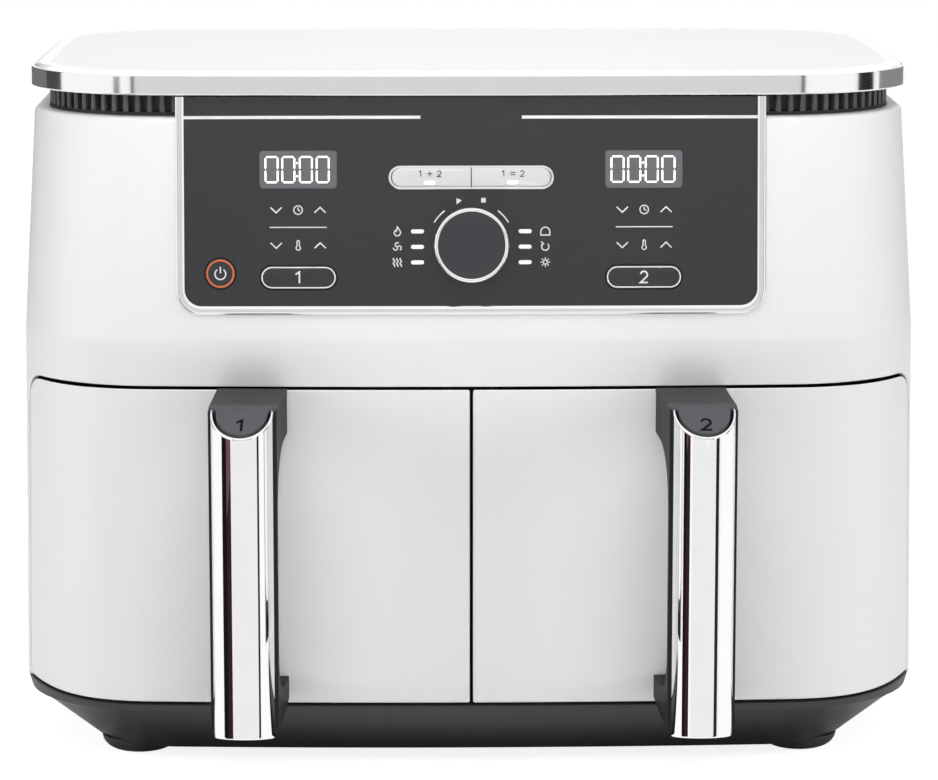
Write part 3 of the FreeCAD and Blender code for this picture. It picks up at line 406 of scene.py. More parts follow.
def prisms(points):
    """Blocks from points of shape (count, 2, corners, 3): walls between the two ends of each, and a face on both."""
    count, _, k = points.shape[:3]
    start, i = (np.arange(count) * 2 * k)[:, None], np.arange(k)
    j = (i + 1) % k
    walls = np.stack([start + i, start + j, start + j + k, start + i + k], -1).reshape(-1, 4)
    return points.reshape(-1, 3), walls.tolist() + (start + i + k).tolist() + (start + i[::-1]).tolist()


def mirrored(part):
    """A part on the other side of the middle plane."""
    points, faces = part
    return points * [-1, 1, 1], [face[::-1] for face in faces]


def joined(parts):
    """Several parts as one."""
    starts = np.cumsum([0] + [len(p) for p, _ in parts])
    faces = [[i + int(s) for i in face] for s, (_, part_faces) in zip(starts, parts) for face in part_faces]
    return np.concatenate([p for p, _ in parts]), faces


def piece(name, parts, finish, body="housing", nodes=(), sharp=35.0, closed=True):
    """One object from parts in millimetres: welded, turned outward, shaded smooth and riding on its body."""
    points, faces = joined(parts)
    mesh = bpy.data.meshes.new(name)
    mesh.from_pydata((points * MM).tolist(), [], faces)
    work = bmesh.new()
    work.from_mesh(mesh)
    bmesh.ops.remove_doubles(work, verts=work.verts, dist=WELD)
    if closed:
        bmesh.ops.recalc_face_normals(work, faces=work.faces)
    work.to_mesh(mesh)
    work.free()
    mesh.shade_smooth()
    mesh.set_sharp_from_angle(angle=math.radians(sharp))
    made = bpy.data.objects.new(name, mesh)
    bpy.context.scene.collection.objects.link(made)
    mesh.materials.append(FINISHES[finish])
    if nodes:
        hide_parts(*nodes)
    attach(made, body)
    return made


def bevel(made, width, segments, angle):
    """Live bevel on the edges of a piece that are sharper than an angle in degrees; its width is in millimetres."""
    m = made.modifiers.new("edges", "BEVEL")
    m.width, m.segments, m.limit_method, m.angle_limit = width * MM, segments, "ANGLE", math.radians(angle)
    m.harden_normals = True


def turn(radius, height, count):
    """Points of rings: radii and heights of a profile carried round the Z axis, x = r cos a and y = r sin a."""
    a = np.linspace(0, 2 * np.pi, count, endpoint=False)
    radius, height = np.asarray(radius, float)[:, None], np.asarray(height, float)[:, None]
    return np.stack([radius * np.cos(a), radius * np.sin(a), height + 0 * a], -1)


# Plan outline of the housing

def crossing(c0, r0, c1, r1, near):
    """Meeting point of two circles that is closest to a given point: along the line of centres, then square to it."""
    gap = c1 - c0
    d = np.hypot(*gap)
    a = (d * d + r0 * r0 - r1 * r1) / (2 * d)
    h = math.sqrt(r0 * r0 - a * a)
    foot, across = c0 + gap * a / d, np.array([-gap[1], gap[0]]) * h / d
    return min((foot + across, foot - across), key=lambda p: np.hypot(*(p - near)))


def arc(centre, start, stop, count):
    """Points on a circle the short way from one point to another, the first left out: centre + r (cos a, sin a)."""
    def angle(p):
        """Direction of a point from the centre."""
        return math.atan2(p[1] - centre[1], p[0] - centre[0])
    first, last = angle(start), angle(stop)
    last = first + (last - first + math.pi) % (2 * math.pi) - math.pi
    a = np.linspace(first, last, count + 1)[1:]
    return centre + np.hypot(*(start - centre)) * np.stack([np.cos(a), np.sin(a)], -1)


# Places across the front and the back where an outline has a point, the columns of the openings in the back, and how
# many points the outline's other stretches have
FRONT_STOPS = np.concatenate([[0.0, 0.75], np.linspace(8, WINDOW, 16)])
BACK_STOPS = np.concatenate([[147.0, 140.0, 133.0], np.linspace(118, 75, 4), np.linspace(60, 0, 5)])
CORD_COLUMNS, GRILLE_COLUMN = 2, 6
N_EDGE, N_TURN, N_WING, N_SIDE, N_REAR = 3, 30, 6, 12, 22
COLUMN_WINDOW = len(FRONT_STOPS) - 1
COLUMN_WING = COLUMN_WINDOW + N_EDGE + N_TURN


def half_outline(half, front, back, front_r, rear_r, wing_y):
    """Right half of the plan outline, middle of the front to middle of the back.

    Five tangent circular arcs: bowed front, corner, side, corner and back. The front and back are cut at fixed X
    stops and the front corner at a given Y, so that outlines of other heights have the same columns.
    """
    end, side = np.array([0, front + FRONT_BOW]), np.array([half - SIDE_BOW, (front + back) / 2])
    rear = np.array([0, back - BACK_BOW])
    c1 = crossing(end, FRONT_BOW - front_r, side, SIDE_BOW - front_r, np.array([half, front]))
    c2 = crossing(rear, BACK_BOW - rear_r, side, SIDE_BOW - rear_r, np.array([half, back]))

    def tangent(centre, reach, corner):
        """Point of an arc where its neighbour at the corner begins, on the line through both centres."""
        return centre + (corner - centre) * reach / np.hypot(*(corner - centre))
    p1, p2 = tangent(end, FRONT_BOW, c1), tangent(side, SIDE_BOW, c1)
    p3, p4 = tangent(side, SIDE_BOW, c2), tangent(rear, BACK_BOW, c2)
    x = np.concatenate([FRONT_STOPS, np.linspace(WINDOW, p1[0], N_EDGE + 1)[1:]])
    front_line = np.stack([x, end[1] - np.sqrt(FRONT_BOW ** 2 - x * x)], -1)
    wing = np.array([c1[0] + math.sqrt(front_r ** 2 - (wing_y - c1[1]) ** 2), wing_y])
    x = np.minimum(BACK_STOPS, p4[0])
    back_line = np.stack([x, rear[1] + np.sqrt(BACK_BOW ** 2 - x * x)], -1)
    return np.concatenate([front_line, arc(c1, p1, wing, N_TURN), arc(c1, wing, p2, N_WING),
                           arc(side, p2, p3, N_SIDE), arc(c2, p3, p4, N_REAR), back_line])


def ramp(z, ease):
    """Height above the crease: 0 below its bend, a parabola across the bend, then a straight line."""
    rise = np.clip(z - Z_CREASE + ease, 0, 2 * ease)
    return rise * rise / (4 * ease) + max(0.0, z - Z_CREASE - ease)


def smooth(s):
    """Soft step from 0 to 1: 3 s^2 - 2 s^3 with s kept between 0 and 1."""
    s = np.clip(s, 0, 1)
    return s * s * (3 - 2 * s)


def body_outline(z, inset=0.0, wing_y=FRONT + WING):
    """Right half of the housing's outline at a height, smaller all round by an inset."""
    ease = bpy.context.scene.fryer_body.crease_ease / MM
    up, above = z - Z_SEAM, ramp(z, ease)
    half = HALF - SIDE_LEAN[0] * up - (SIDE_LEAN[1] - SIDE_LEAN[0]) * above - inset
    front = FRONT + FRONT_LEAN * above + inset
    back = BACK - BACK_LEAN[0] * up - (BACK_LEAN[1] - BACK_LEAN[0]) * above - inset
    return half_outline(half, front, back, FRONT_CORNER - inset, REAR_CORNER - inset, wing_y)


def band_outline(z):
    """Right half of the housing's outline where the band under the crease leans in towards the drawers.

    The inset grows from 0 at the crease to BAND_IN at the drawers, and fades out softly round the corner.
    """
    line = body_outline(z)
    inset = BAND_IN * np.clip((Z_CREASE - z) / (Z_CREASE - Z_DRAWER_TOP), 0, 1)
    return line + (body_outline(z, inset) - line) * (1 - smooth((line[:, 1] - FRONT) / WING))[:, None]


def lid_outline(inset):
    """Right half of the lid's outline."""
    return half_outline(LID_HIGH[0] - inset, LID_LOW[1] + inset, LID_HIGH[1] - inset, FRONT_CORNER - inset,
                        LID_REAR_CORNER - inset, FRONT + WING)


def whole(half):
    """Closed outline from its right half."""
    return np.concatenate([half, (half * [-1, 1])[-2:0:-1]])


def stacked(sections):
    """Rows of points from (height, right half of an outline) pairs."""
    lines = [(z, whole(half)) for z, half in sections]
    return np.stack([np.concatenate([line, np.full((len(line), 1), z)], -1) for z, line in lines])


def seam_rise(y):
    """Lift of the seam above the base at a depth: a soft step up to SEAM_RISE round the front corner."""
    return SEAM_RISE * smooth((y - FRONT - SEAM_START) / (WING - SEAM_START))


def wing_top(y, top, end, radius):
    """Upper edge of the drawer fronts at a depth: level, then a quarter round down to the wing's end."""
    over = np.clip(y - (end - radius), 0, radius)
    return top - radius + np.sqrt(np.maximum(radius ** 2 - over ** 2, 0))


# Panel coordinates: u to the right, v up along the panel, n out of it, on a face bowed like the body

def on_panel(u, v, n):
    """World points of panel coordinates: u across, v up the panel, and n out of it less the sag of the bowed front.

    The sag is R - sqrt(R^2 - u^2), with R the radius of the bow.
    """
    u, v, n = np.broadcast_arrays(np.asarray(u, float), v, n)
    out = n - (FRONT_BOW - np.sqrt(FRONT_BOW ** 2 - u * u))
    return PANEL_ORIGIN + np.stack([u, 0 * u, 0 * u], -1) + v[..., None] * PANEL_UP + out[..., None] * PANEL_OUT


def rounded(u, v, width, height, radius, count=8):
    """Rectangle with round corners as a polygon, centred at a point: a quarter circle at each corner in turn."""
    a = np.linspace(0, np.pi / 2, count + 1)
    quarter = np.stack([np.cos(a), np.sin(a)], -1) * radius
    x, y = width / 2 - radius, height / 2 - radius
    turned = [quarter + [x, y], quarter[:, ::-1] * [-1, 1] + [-x, y], -quarter + [-x, -y],
              quarter[:, ::-1] * [1, -1] + [x, -y]]
    return np.concatenate(turned) + [u, v]


def tiles(polygons, low, high):
    """Flat prisms on the panel, from polygons of shape (count, corners, 2), between two levels."""
    u, v = np.moveaxis(np.asarray(polygons, float), -1, 0)
    return prisms(np.stack([on_panel(u, v, n) for n in (low, high)], 1))


def stroke(path, width, low, high, closed=False, lay=on_panel):
    """Printed line on the panel or another face: a rectangular profile along a path, with mitred corners."""
    path = np.asarray(path, float)
    if closed:
        step_in, step_out = path - np.roll(path, 1, 0), np.roll(path, -1, 0) - path
    else:
        steps = np.diff(path, axis=0)
        step_in, step_out = np.concatenate([steps[:1], steps]), np.concatenate([steps, steps[-1:]])

    def normal(step):
        """Steps made one long and turned a quarter to the left."""
        step = step / np.hypot(step[:, 0], step[:, 1])[:, None]
        return np.stack([-step[:, 1], step[:, 0]], -1)
    a, b = normal(step_in), normal(step_out)
    side = (a + b) / (1 + (a * b).sum(1))[:, None] * width / 2
    left, right = path + side, path - side
    edges = [(left, low), (left, high), (right, high), (right, low)]
    points = np.stack([lay(e[:, 0], e[:, 1], n) for e, n in edges], 1)
    return grid(points, closed, True, (not closed, not closed))


def within(points, polygon):
    """Which points lie inside a polygon: an odd count of its edges crossed on the way to the right."""
    a, b = polygon[None], np.roll(polygon, -1, 0)[None]
    x, y = points[:, 0, None], points[:, 1, None]
    spans = (a[..., 1] > y) != (b[..., 1] > y)
    rise = np.where(spans, b[..., 1] - a[..., 1], 1.0)
    return (spans & (x < a[..., 0] + (b[..., 0] - a[..., 0]) * (y - a[..., 1]) / rise)).sum(1) % 2 == 1


def cut_flat(loops, across, up):
    """Flat region as triangles: inside the first loop and outside the others, with a grid of points to bend at."""
    starts = np.cumsum([0] + [len(p) for p in loops])
    edges = [(int(s + i), int(s + (i + 1) % len(p))) for s, p in zip(starts, loops) for i in range(len(p))]
    inside = np.stack(np.meshgrid(across, up, indexing="ij"), -1).reshape(-1, 2)
    flat = np.concatenate([*loops, inside])
    cut = delaunay_2d_cdt([Vector(p) for p in flat], edges, [], 0, 1e-5)
    spots, tris = np.array([tuple(p) for p in cut[0]]), np.array([list(f) for f in cut[2]])
    middles = spots[tris].mean(1)
    holes = np.any([within(middles, p) for p in loops[1:]], 0)
    return spots, tris[within(middles, loops[0]) & ~holes]


def course(u, v):
    """Points of a line from its two coordinates, either of which may be one number."""
    return np.stack(np.broadcast_arrays(np.asarray(u, float), v), -1)


def ring_path(u, v, radius, start=0.0, stop=360.0, count=48):
    """Points on a circle on the panel, u + r sin a and v + r cos a; angles in degrees from the top, clockwise."""
    a = np.radians(np.linspace(start, stop, count, endpoint=abs(stop - start) < 360))
    return np.stack([u + radius * np.sin(a), v + radius * np.cos(a)], -1)


def pad(u, v, width, height, radius, steps, count=8):
    """Rings of a rounded rectangle on the panel, drawn in by the inset of each (inset, level) step."""
    return [on_panel(*rounded(u, v, width - 2 * i, height - 2 * i, radius - i, count).T, n) for i, n in steps]


def lathe(u, v, profile, count):
    """Rings round the panel's axis through a point, from (radius, level) pairs."""
    return [on_panel(*ring_path(u, v, r, count=count).T, n) for r, n in profile]


def numeral(text, u, v, height, width, levels, lay=on_panel):
    """A plain 1 or 2 as lines, centred at a point."""
    h = height / 2
    if text == "1":
        path = [[u - 0.55 * h, v + 0.55 * h], [u + 0.15 * h, v + h], [u + 0.15 * h, v - h]]
    else:
        bow = ring_path(u, v + 0.4 * h, 0.6 * h, -80, 130, 16)
        path = np.concatenate([bow, [[u - 0.62 * h, v - h], [u + 0.68 * h, v - h]]])
    return [stroke(path, width, *levels, lay=lay)]


# Pieces

class FryerOperator:
    """Shared part of the operators that build pieces."""
    bl_options = {"REGISTER", "UNDO"}

    def execute(self, context):
        """Builds the operator's pieces in the scene."""
        self.build(context.scene)
        return {"FINISHED"}


class FRYER_OT_shell(FryerOperator, bpy.types.Operator):
    """White housing with its drawer opening, panel window, grille and cord openings"""
    bl_idname = "fryer.shell"
    bl_label = "Housing"

    def build(self, scene):
        """Outline of each height as a row; the row above the drawers follows the opening's round corner.

        The top edge is a quarter round, inset = r (1 - cos a) and z = rim - r + r sin a, and ends in a flat ledge.
        Faces inside the openings are left out and the skin is given its thickness inward.
        """
        look = scene.fryer_body
        r, ease = look.rim_round / MM, look.crease_ease / MM
        wall_thick, beside_bend, edge = 2.4, 0.8, Z_DRAWER_TOP - WING_ROUND
        cord_low, cord_high, grille_low, grille_high = 51.0, 65.0, 228.0, 262.0
        lower = [Z_SEAM, cord_low, cord_high, 90.0, 115.0, 140.0]
        bend = Z_CREASE + np.concatenate([[-ease - beside_bend], np.linspace(-ease, ease, 7), [ease + beside_bend]])
        upper = [Z_DRAWER_TOP + 3.0, 188.0, *bend, 208.0, WINDOW_LOW, 222.0, grille_low, 245.0, grille_high,
                 272.0, 282.0, 290.0, Z_RIM - r]
        a = np.linspace(0, np.pi / 2, 7)[1:]
        roll = [*zip(Z_RIM - r + r * np.sin(a), r * (1 - np.cos(a))), (Z_RIM, 5.5), (Z_RIM, 12.0)]
        opening_low, opening_high = body_outline(edge), band_outline(Z_DRAWER_TOP)
        z = wing_top(opening_high[:, 1], Z_DRAWER_TOP, FRONT + WING, WING_ROUND)
        share = ((z - edge) / WING_ROUND)[:, None]
        bound = np.concatenate([opening_low + (opening_high - opening_low) * share, z[:, None]], -1)
        bound = np.concatenate([bound, (bound * [-1, 1, 1])[-2:0:-1]])
        rows = np.concatenate([stacked([(h, body_outline(h)) for h in lower]), bound[None],
                               stacked([(h, band_outline(h)) for h in upper]),
                               stacked([(h, body_outline(h, inset)) for h, inset in roll])])
        rows[0, :, 2] += seam_rise(rows[0, :, 1])
        count, columns = rows.shape[:2]
        faces = grid_faces(count, columns, False, True)
        row, column = np.divmod(np.arange(len(faces)), columns)
        low = np.array([*lower, edge, *upper, *(h for h, _ in roll)])[row]
        last = len(opening_low) - 1
        left = column >= last
        mirror = np.where(left, columns - 1 - column, column)
        back = mirror - (last + 1 - len(BACK_STOPS))
        drawers = (row < len(lower)) & (mirror < COLUMN_WING)
        window = (low >= WINDOW_LOW) & (mirror < COLUMN_WINDOW)
        grille = (low >= grille_low) & (low < grille_high) & (back >= GRILLE_COLUMN)
        cord = (low >= cord_low) & (low < cord_high) & left & (back >= 0) & (back < CORD_COLUMNS)
        faces = faces[~(drawers | window | grille | cord)]
        made = piece("body_shell", [(rows.reshape(-1, 3), faces.tolist())], "white_body", nodes=["outer_shell"],
                     closed=False)
        wall = made.modifiers.new("wall", "SOLIDIFY")
        wall.thickness, wall.offset, wall.use_quality_normals = wall_thick * MM, -1, True
        bevel(made, 0.45, 2, 60.0)


class FRYER_OT_base(FryerOperator, bpy.types.Operator):
    """Dark base and its feet"""
    bl_idname = "fryer.base"
    bl_label = "Base"

    def build(self, scene):
        """Base: outlines at a height with an inset of the sides and one of the ends, from a lip down a sloping skirt.

        Foot: r = 9 + 9 sin t, z = 7.2 (1 - cos t), over a flat disc on the floor.
        """
        levels = [(Z_SEAM, 40, 40), (Z_SEAM, 0.9, 2.0), (31.85, 0.4, 1.5), (31.5, 0.1, 1.2), (28.6, 2.0, 2.4),
                  (28.2, 2.9, 2.8), (27.6, 4.5, 3.4), (24.0, 9.8, 6.6), (20.0, 14.9, 10.2), (15.0, 21.3, 14.8),
                  (10.0, 27.7, 19.3), (7.4, 31.0, 21.6), (6.6, 32.2, 22.4), (6.3, 33.2, 23.2), (6.3, 35.4, 25.4),
                  (9.5, 35.4, 25.4)]
        rows = stacked([(z, half_outline(HALF - s, FRONT + e, BACK - e, FRONT_CORNER - e, REAR_CORNER - e,
                                         FRONT + WING)) for z, s, e in levels])
        lip = slice(1, 4)
        rows[lip, :, 2] += seam_rise(rows[lip, :, 1])
        piece("base_skirt", [solid(rows)], "dark_base", nodes=["base_tray"])
        t = np.linspace(0, np.pi / 2, 16)
        flat, flare, tall = 9.0, 9.0, 7.2
        foot = turn(np.append(flat, flat + flare * np.sin(t)), np.append(0.0, tall * (1 - np.cos(t))), 56)
        for end in ("front", "rear"):
            for side, sign in (("left", -1), ("right", 1)):
                node = "foot_%s_%s" % (end, side)
                low, high = node_box(node)
                middle = [(low[0] + high[0]) / 2 + sign * FOOT_OUT, (low[1] + high[1]) / 2, 0]
                piece(node + "_dome", [solid(foot + middle)], "foot_rubber", nodes=[node])


class FRYER_OT_lid(FryerOperator, bpy.types.Operator):
    """White lid, its bright band and the finned vent collar below"""
    bl_idname = "fryer.lid"
    bl_label = "Lid and vent"

    def build(self, scene):
        """Rim, top, band and collar: outlines at the (height, inset) pairs of a profile."""
        rim = [(Z_LID, 9.0), (Z_LID, 1.6), (Z_TOP - 2.6, 1.6), (Z_TOP - 2.0, 1.75), (Z_TOP - 1.4, 2.15),
               (Z_TOP - 0.9, 2.8), (Z_TOP - 0.5, 3.6), (Z_TOP - 0.2, 4.6), (Z_TOP - 0.05, 5.6), (Z_TOP, 6.6),
               (Z_TOP, 9.0)]
        top = [(Z_LID + 1, 8.9), (Z_TOP - 0.5, 8.9), (Z_TOP - 0.02, 9.0), (Z_TOP - 0.02, 30.0)]
        low, high = Z_LID, Z_TOP - 1.7
        band = [(low, 1.5), (low, 0.45), (low + 0.1, 0.2), (low + 0.3, 0.05), (low + 0.5, 0.0), (low + 0.8, 0.0),
                (high - 0.7, 0.0), (high - 0.4, 0.0), (high - 0.12, 0.12), (high, 0.4), (high, 1.5)]
        collar = [(Z_RIM, 12.0), (Z_RIM, 6.6), (Z_RIM + 1.6, 6.8), (Z_RIM + 2.0, 10.0), (Z_LID - 1.2, 10.0),
                  (Z_LID - 0.9, 8.2), (Z_LID, 8.2), (Z_LID, 12.0)]
        rim, top, band = [stacked([(z, lid_outline(i)) for z, i in profile]) for profile in (rim, top, band)]
        # The rim's whiter colour than the lid's top is a painted highlight along the rounded edge
        piece("lid_rim", [hoop(rim)], "white_rim")
        piece("lid_top", [solid(top)], "white_body", nodes=["top_cover"])
        piece("lid_band", [hoop(band)], "bright_trim", nodes=["lid_trim"])
        collar = stacked([(z, body_outline(Z_RIM, i)) for z, i in collar])
        piece("vent_ring", [hoop(collar)], "black_plastic", nodes=["vent_collar"])
        # The fins' grey, lighter than the ring's black, is painted sheen
        piece("vent_fins", [self.fins(scene.fryer_body)], "fin_plastic")

    def fins(self, look):
        """Tapered blocks at equal distances along an outline inside the collar, each standing square to it.

        The middle of the front has none.
        """
        inset, deep, ease, taper, bare_half = 10.2, 3.3, 0.5, 0.82, 138
        line = whole(body_outline(Z_RIM, inset))
        line = np.concatenate([line, line[:1]])
        run = np.append(0, np.cumsum(np.hypot(*np.diff(line, axis=0).T)))
        count = int(run[-1] / (look.fin_pitch / MM))

        def along(distance):
            """Points at distances along the outline."""
            return np.stack([np.interp(distance % run[-1], run, line[:, k]) for k in (0, 1)], -1)
        places = (np.arange(count) + 0.5) * run[-1] / count
        spot = along(places)
        ahead = along(places + 0.5) - spot
        ahead /= np.hypot(*ahead.T)[:, None]
        out = np.stack([ahead[:, 1], -ahead[:, 0]], -1)
        keep = (spot[:, 1] > FRONT + FRONT_CORNER / 3) | (np.abs(spot[:, 0]) > bare_half)
        spot, ahead, out = spot[keep], ahead[keep], out[keep]
        half = look.fin_width / MM / 2
        corners = []
        for z, wide in ((Z_RIM + 1.0, half), (Z_LID - 1.0, half * taper)):
            for side, depth in ((-1, 0.0), (-1, deep - ease), (-0.6, deep), (0.6, deep), (1, deep - ease), (1, 0.0)):
                flat = spot + ahead * (wide * side) + out * depth
                corners.append(np.concatenate([flat, np.full((len(flat), 1), z)], -1))
        return prisms(np.stack(corners, 1).reshape(len(spot), 2, -1, 3))


class FRYER_OT_drawers(FryerOperator, bpy.types.Operator):
    """White drawer fronts that wrap round the corners"""
    bl_idname = "fryer.drawers"
    bl_label = "Drawer fronts"

    def build(self, scene):
        """Outer skin from the middle gap to the wing's end, an inner skin behind it, and edges between.

        The upper edge runs level and turns down in a quarter round at the wing's end. It slopes down to the inner
        skin, which stands lower, so that the seam above looks dark.
        """
        skin, wing_in, inner_front, inner_fall = 3.0, 0.2, 16.0, 5.0
        low, top, end = Z_SEAM + GAP, Z_DRAWER_TOP - TOP_GAP, FRONT + WING - GAP
        share = np.linspace(0, 1, 16)
        flat, deep = [np.array([body_outline(low + (top - low) * s, inset, wing_end)[1:COLUMN_WING + 1] for s in share])
                      for inset, wing_end in ((0, end), (skin, end - wing_in))]
        deep[..., 1] = np.maximum(deep[..., 1], FRONT + inner_front)
        straight = deep[..., 1] < FRONT + inner_front + 0.01
        deep[..., 0] = np.where(straight, np.minimum(flat[..., 0], deep[..., 0]), deep[..., 0])
        upper = wing_top(flat[-1, :, 1], top, end, WING_ROUND - GAP)
        floor = low + seam_rise(flat[0, :, 1])
        outer, inner = [np.concatenate([line, (floor + (upper - fall - floor) * share[:, None])[..., None]], -1)
                        for line, fall in ((flat, 0.0), (deep, inner_fall))]
        loop = np.concatenate([outer, inner[:, ::-1]], 1)
        rows, columns = loop.shape[:2]
        strip = np.arange(columns // 2 - 1)
        lid = np.stack([strip, strip + 1, columns - 2 - strip, columns - 1 - strip], -1)
        faces = np.concatenate([grid_faces(rows, columns, False, True), lid + (rows - 1) * columns, lid[:, ::-1]])
        part = loop.reshape(-1, 3), faces.tolist()
        for number, side in SIDES:
            made = piece("drawer_face_" + number, [part if side > 0 else mirrored(part)], "white_body",
                         "drawer_" + number, ["drawer_front_" + number])
            bevel(made, scene.fryer_body.edge_round / MM, 3, 40.0)


class FRYER_OT_handles(FryerOperator, bpy.types.Operator):
    """Upright handles: dark body, bright half-round cover and numbered cap"""
    bl_idname = "fryer.handles"
    bl_label = "Handles"

    def build(self, scene):
        """Parts made on the middle plane, then splayed a little and moved across to each drawer."""
        core, cap, filler, cover = self.core(), self.cap(), self.filler(), self.cover()
        tilt, out = math.atan(CAP_SLOPE), 55.0
        spot = np.array([0, FRONT - out, float(self.crown(np.array(out)))])
        for number, side in SIDES:
            rides, splay = "drawer_" + number, side * math.radians(SPLAY)
            c, s = math.cos(splay), math.sin(splay)
            turned = np.array([[c, s, 0], [-s, c, 0], [0, 0, 1]])

            def placed(points, turned=turned, side=side):
                """Points turned by the splay about the drawer's face and moved across."""
                return (points - [0, FRONT, 0]) @ turned + [side * HANDLE_X, FRONT, 0]

            def lay(u, v, n, placed=placed):
                """World points of a mark on the cap's slant."""
                return placed(spot + u[:, None] * np.array([1.0, 0, 0])
                              + n * np.array([0, -math.sin(tilt), math.cos(tilt)])
                              + v[:, None] * np.array([0, math.cos(tilt), math.sin(tilt)]))
            core_here, cap_here, filler_here, cover_here = [[(placed(p), f) for p, f in parts]
                                                            for parts in (core, cap, filler, cover)]
            # The core's and the cap's finishes paint shade by the drawer and light towards the nose
            made = piece("handle_core_" + number, core_here, "handle_core", rides, ["handle_" + number])
            bevel(made, 0.8, 3, 50.0)
            made = piece("handle_cap_" + number, cap_here, "handle_dark", rides)
            bevel(made, 0.55, 3, 50.0)
            # The filler's near-black finish is painted shade in the groove round the cap
            piece("handle_filler_" + number, filler_here, "deep_black", rides, sharp=50.0)
            piece("handle_shine_" + number, cover_here, "handle_bright", rides, ["handle_cover_" + number], sharp=50.0)
            piece("handle_number_" + number, numeral(number, 0.0, 0.0, 6.6, 1.2, (-0.2, 0.04), lay), "deep_black",
                  rides)

    def crown(self, out):
        """Height of the cap at a distance from the drawer's face: level, a parabola, then a plane that slants down."""
        over = np.clip(out - BEND_FROM, 0, BEND)
        return CAP_TOP - CAP_SLOPE * (over * over / (2 * BEND) + np.maximum(out - BEND_FROM - BEND, 0))

    def flank(self, out):
        """Half width of the body, which grows evenly from the grip to the root."""
        return ROOT_HALF + (GRIP_HALF - ROOT_HALF) * out / AXIS

    def curve(self, start, through, end, count=12):
        """Parabola through three points."""
        t = np.linspace(0, 1, count)[:, None]
        start, through, end = np.array(start), np.array(through), np.array(end)
        pull = 2 * through - (start + end) / 2
        return (1 - t) ** 2 * start + 2 * t * (1 - t) * pull + t * t * end

    def core(self):
        """C-shaped side profile of (out, height) points as two flanks, with walls between them."""
        front, root, low, spacing = AXIS - 1.0, 0.2, 33.4, 5
        over = np.linspace(BEND_FROM, front, 5)
        loop = np.concatenate([[[root, 176.4]], np.stack([over, self.crown(over) - 1.1], -1),
                               [[front, low], [30, low], [root, 36.0], [root, 46.5]],
                               self.curve((14, 47), (36, 51), (44, 68)), self.curve((44, 128), (35, 151), (8, 158)),
                               [[root, 158.4]]])
        fine = np.concatenate([np.linspace(p, q, max(2, int(np.hypot(*(q - p)) / spacing) + 1), endpoint=False)
                               for p, q in zip(loop, np.roll(loop, -1, 0))])
        spots, tris = cut_flat([fine], np.arange(3.0, 46, 4.0), np.arange(36.0, 176, 6.0))

        def beside(line, side):
            """Points of the side profile moved out to one flank."""
            return np.stack([side * self.flank(line[:, 0]), FRONT - line[:, 0], line[:, 1]], -1)
        return [(beside(spots, 1), tris.tolist()), (beside(spots, -1), tris[:, ::-1].tolist()),
                grid(np.stack([beside(fine, side) for side in (-1, 1)]), False, True)]

    def cap(self):
        """Cap: the body's plan that narrows to a half ellipse at the nose, laid at the crown's height, with an edge."""
        inset, clear, thick = 2.4, 0.15, 2.0
        neck, neck_run, tip, lift, lift_run = 44.8, 1.6, 0.0004, 0.4, 20
        nose = NOSE - inset
        out = np.concatenate([np.linspace(-2.2, 44.5, 12), np.linspace(45, AXIS, 6)[:-1],
                              AXIS + nose * np.sin(np.linspace(0, np.pi / 2, 20))])
        taper = self.flank(np.clip(out, 0, AXIS)) - clear
        round_nose = (SHINE_HALF - inset) * np.sqrt(np.maximum(1 - (np.clip(out - AXIS, 0, None) / nose) ** 2, tip))
        width = taper + (round_nose - taper) * np.clip((out - neck) / neck_run, 0, 1)
        x = width[:, None] * np.concatenate([[-1, -0.99], np.linspace(-0.95, 0.95, 9), [0.99, 1]])
        z = self.crown(out) + lift * np.clip(1 - out / lift_run, 0, 1)
        top, under = [np.stack([x, 0 * x + FRONT - out[:, None], 0 * x + (z - drop)[:, None]], -1)
                      for drop in (0.0, thick)]
        edge = np.concatenate([top[:-1, 0], top[-1], top[-2::-1, -1], top[0, -2:0:-1]])
        return [grid(top), grid(under[:, ::-1]), grid(np.stack([edge, edge - [0, 0, thick]]), False, True)]

    def section(self, shrink, height, angle=96):
        """Row of the half round, x = 13.7 sin t and out = 48 + 14 cos t, smaller by a shrink, at a height over out."""
        t = np.radians(np.linspace(-angle, angle, 61))
        x, out = (SHINE_HALF - shrink) * np.sin(t), AXIS + (NOSE - shrink) * np.cos(t)
        return np.stack([x, FRONT - out, height(out)], -1)

    def level(self, z, fall=0.0):
        """A height over out that is lower by a fall where the half round ends."""
        return lambda out: z - fall * (1 - np.clip((out - REACH + NOSE) / NOSE, 0, 1))

    def under(self, drop):
        """A height over out that stays below the cap's plane by a drop."""
        return lambda out: self.crown(out) - drop

    def filler(self):
        """Dark half round that fills the cover; its near-black colour, darker than the handle's plastic, is painted
        shade in the groove between the cap and the cover.
        """
        heights = self.level(HANDLE_LOW), self.under(6.0), self.under(0.9)
        return [solid([self.section(2.7, height, 90) for height in heights])]

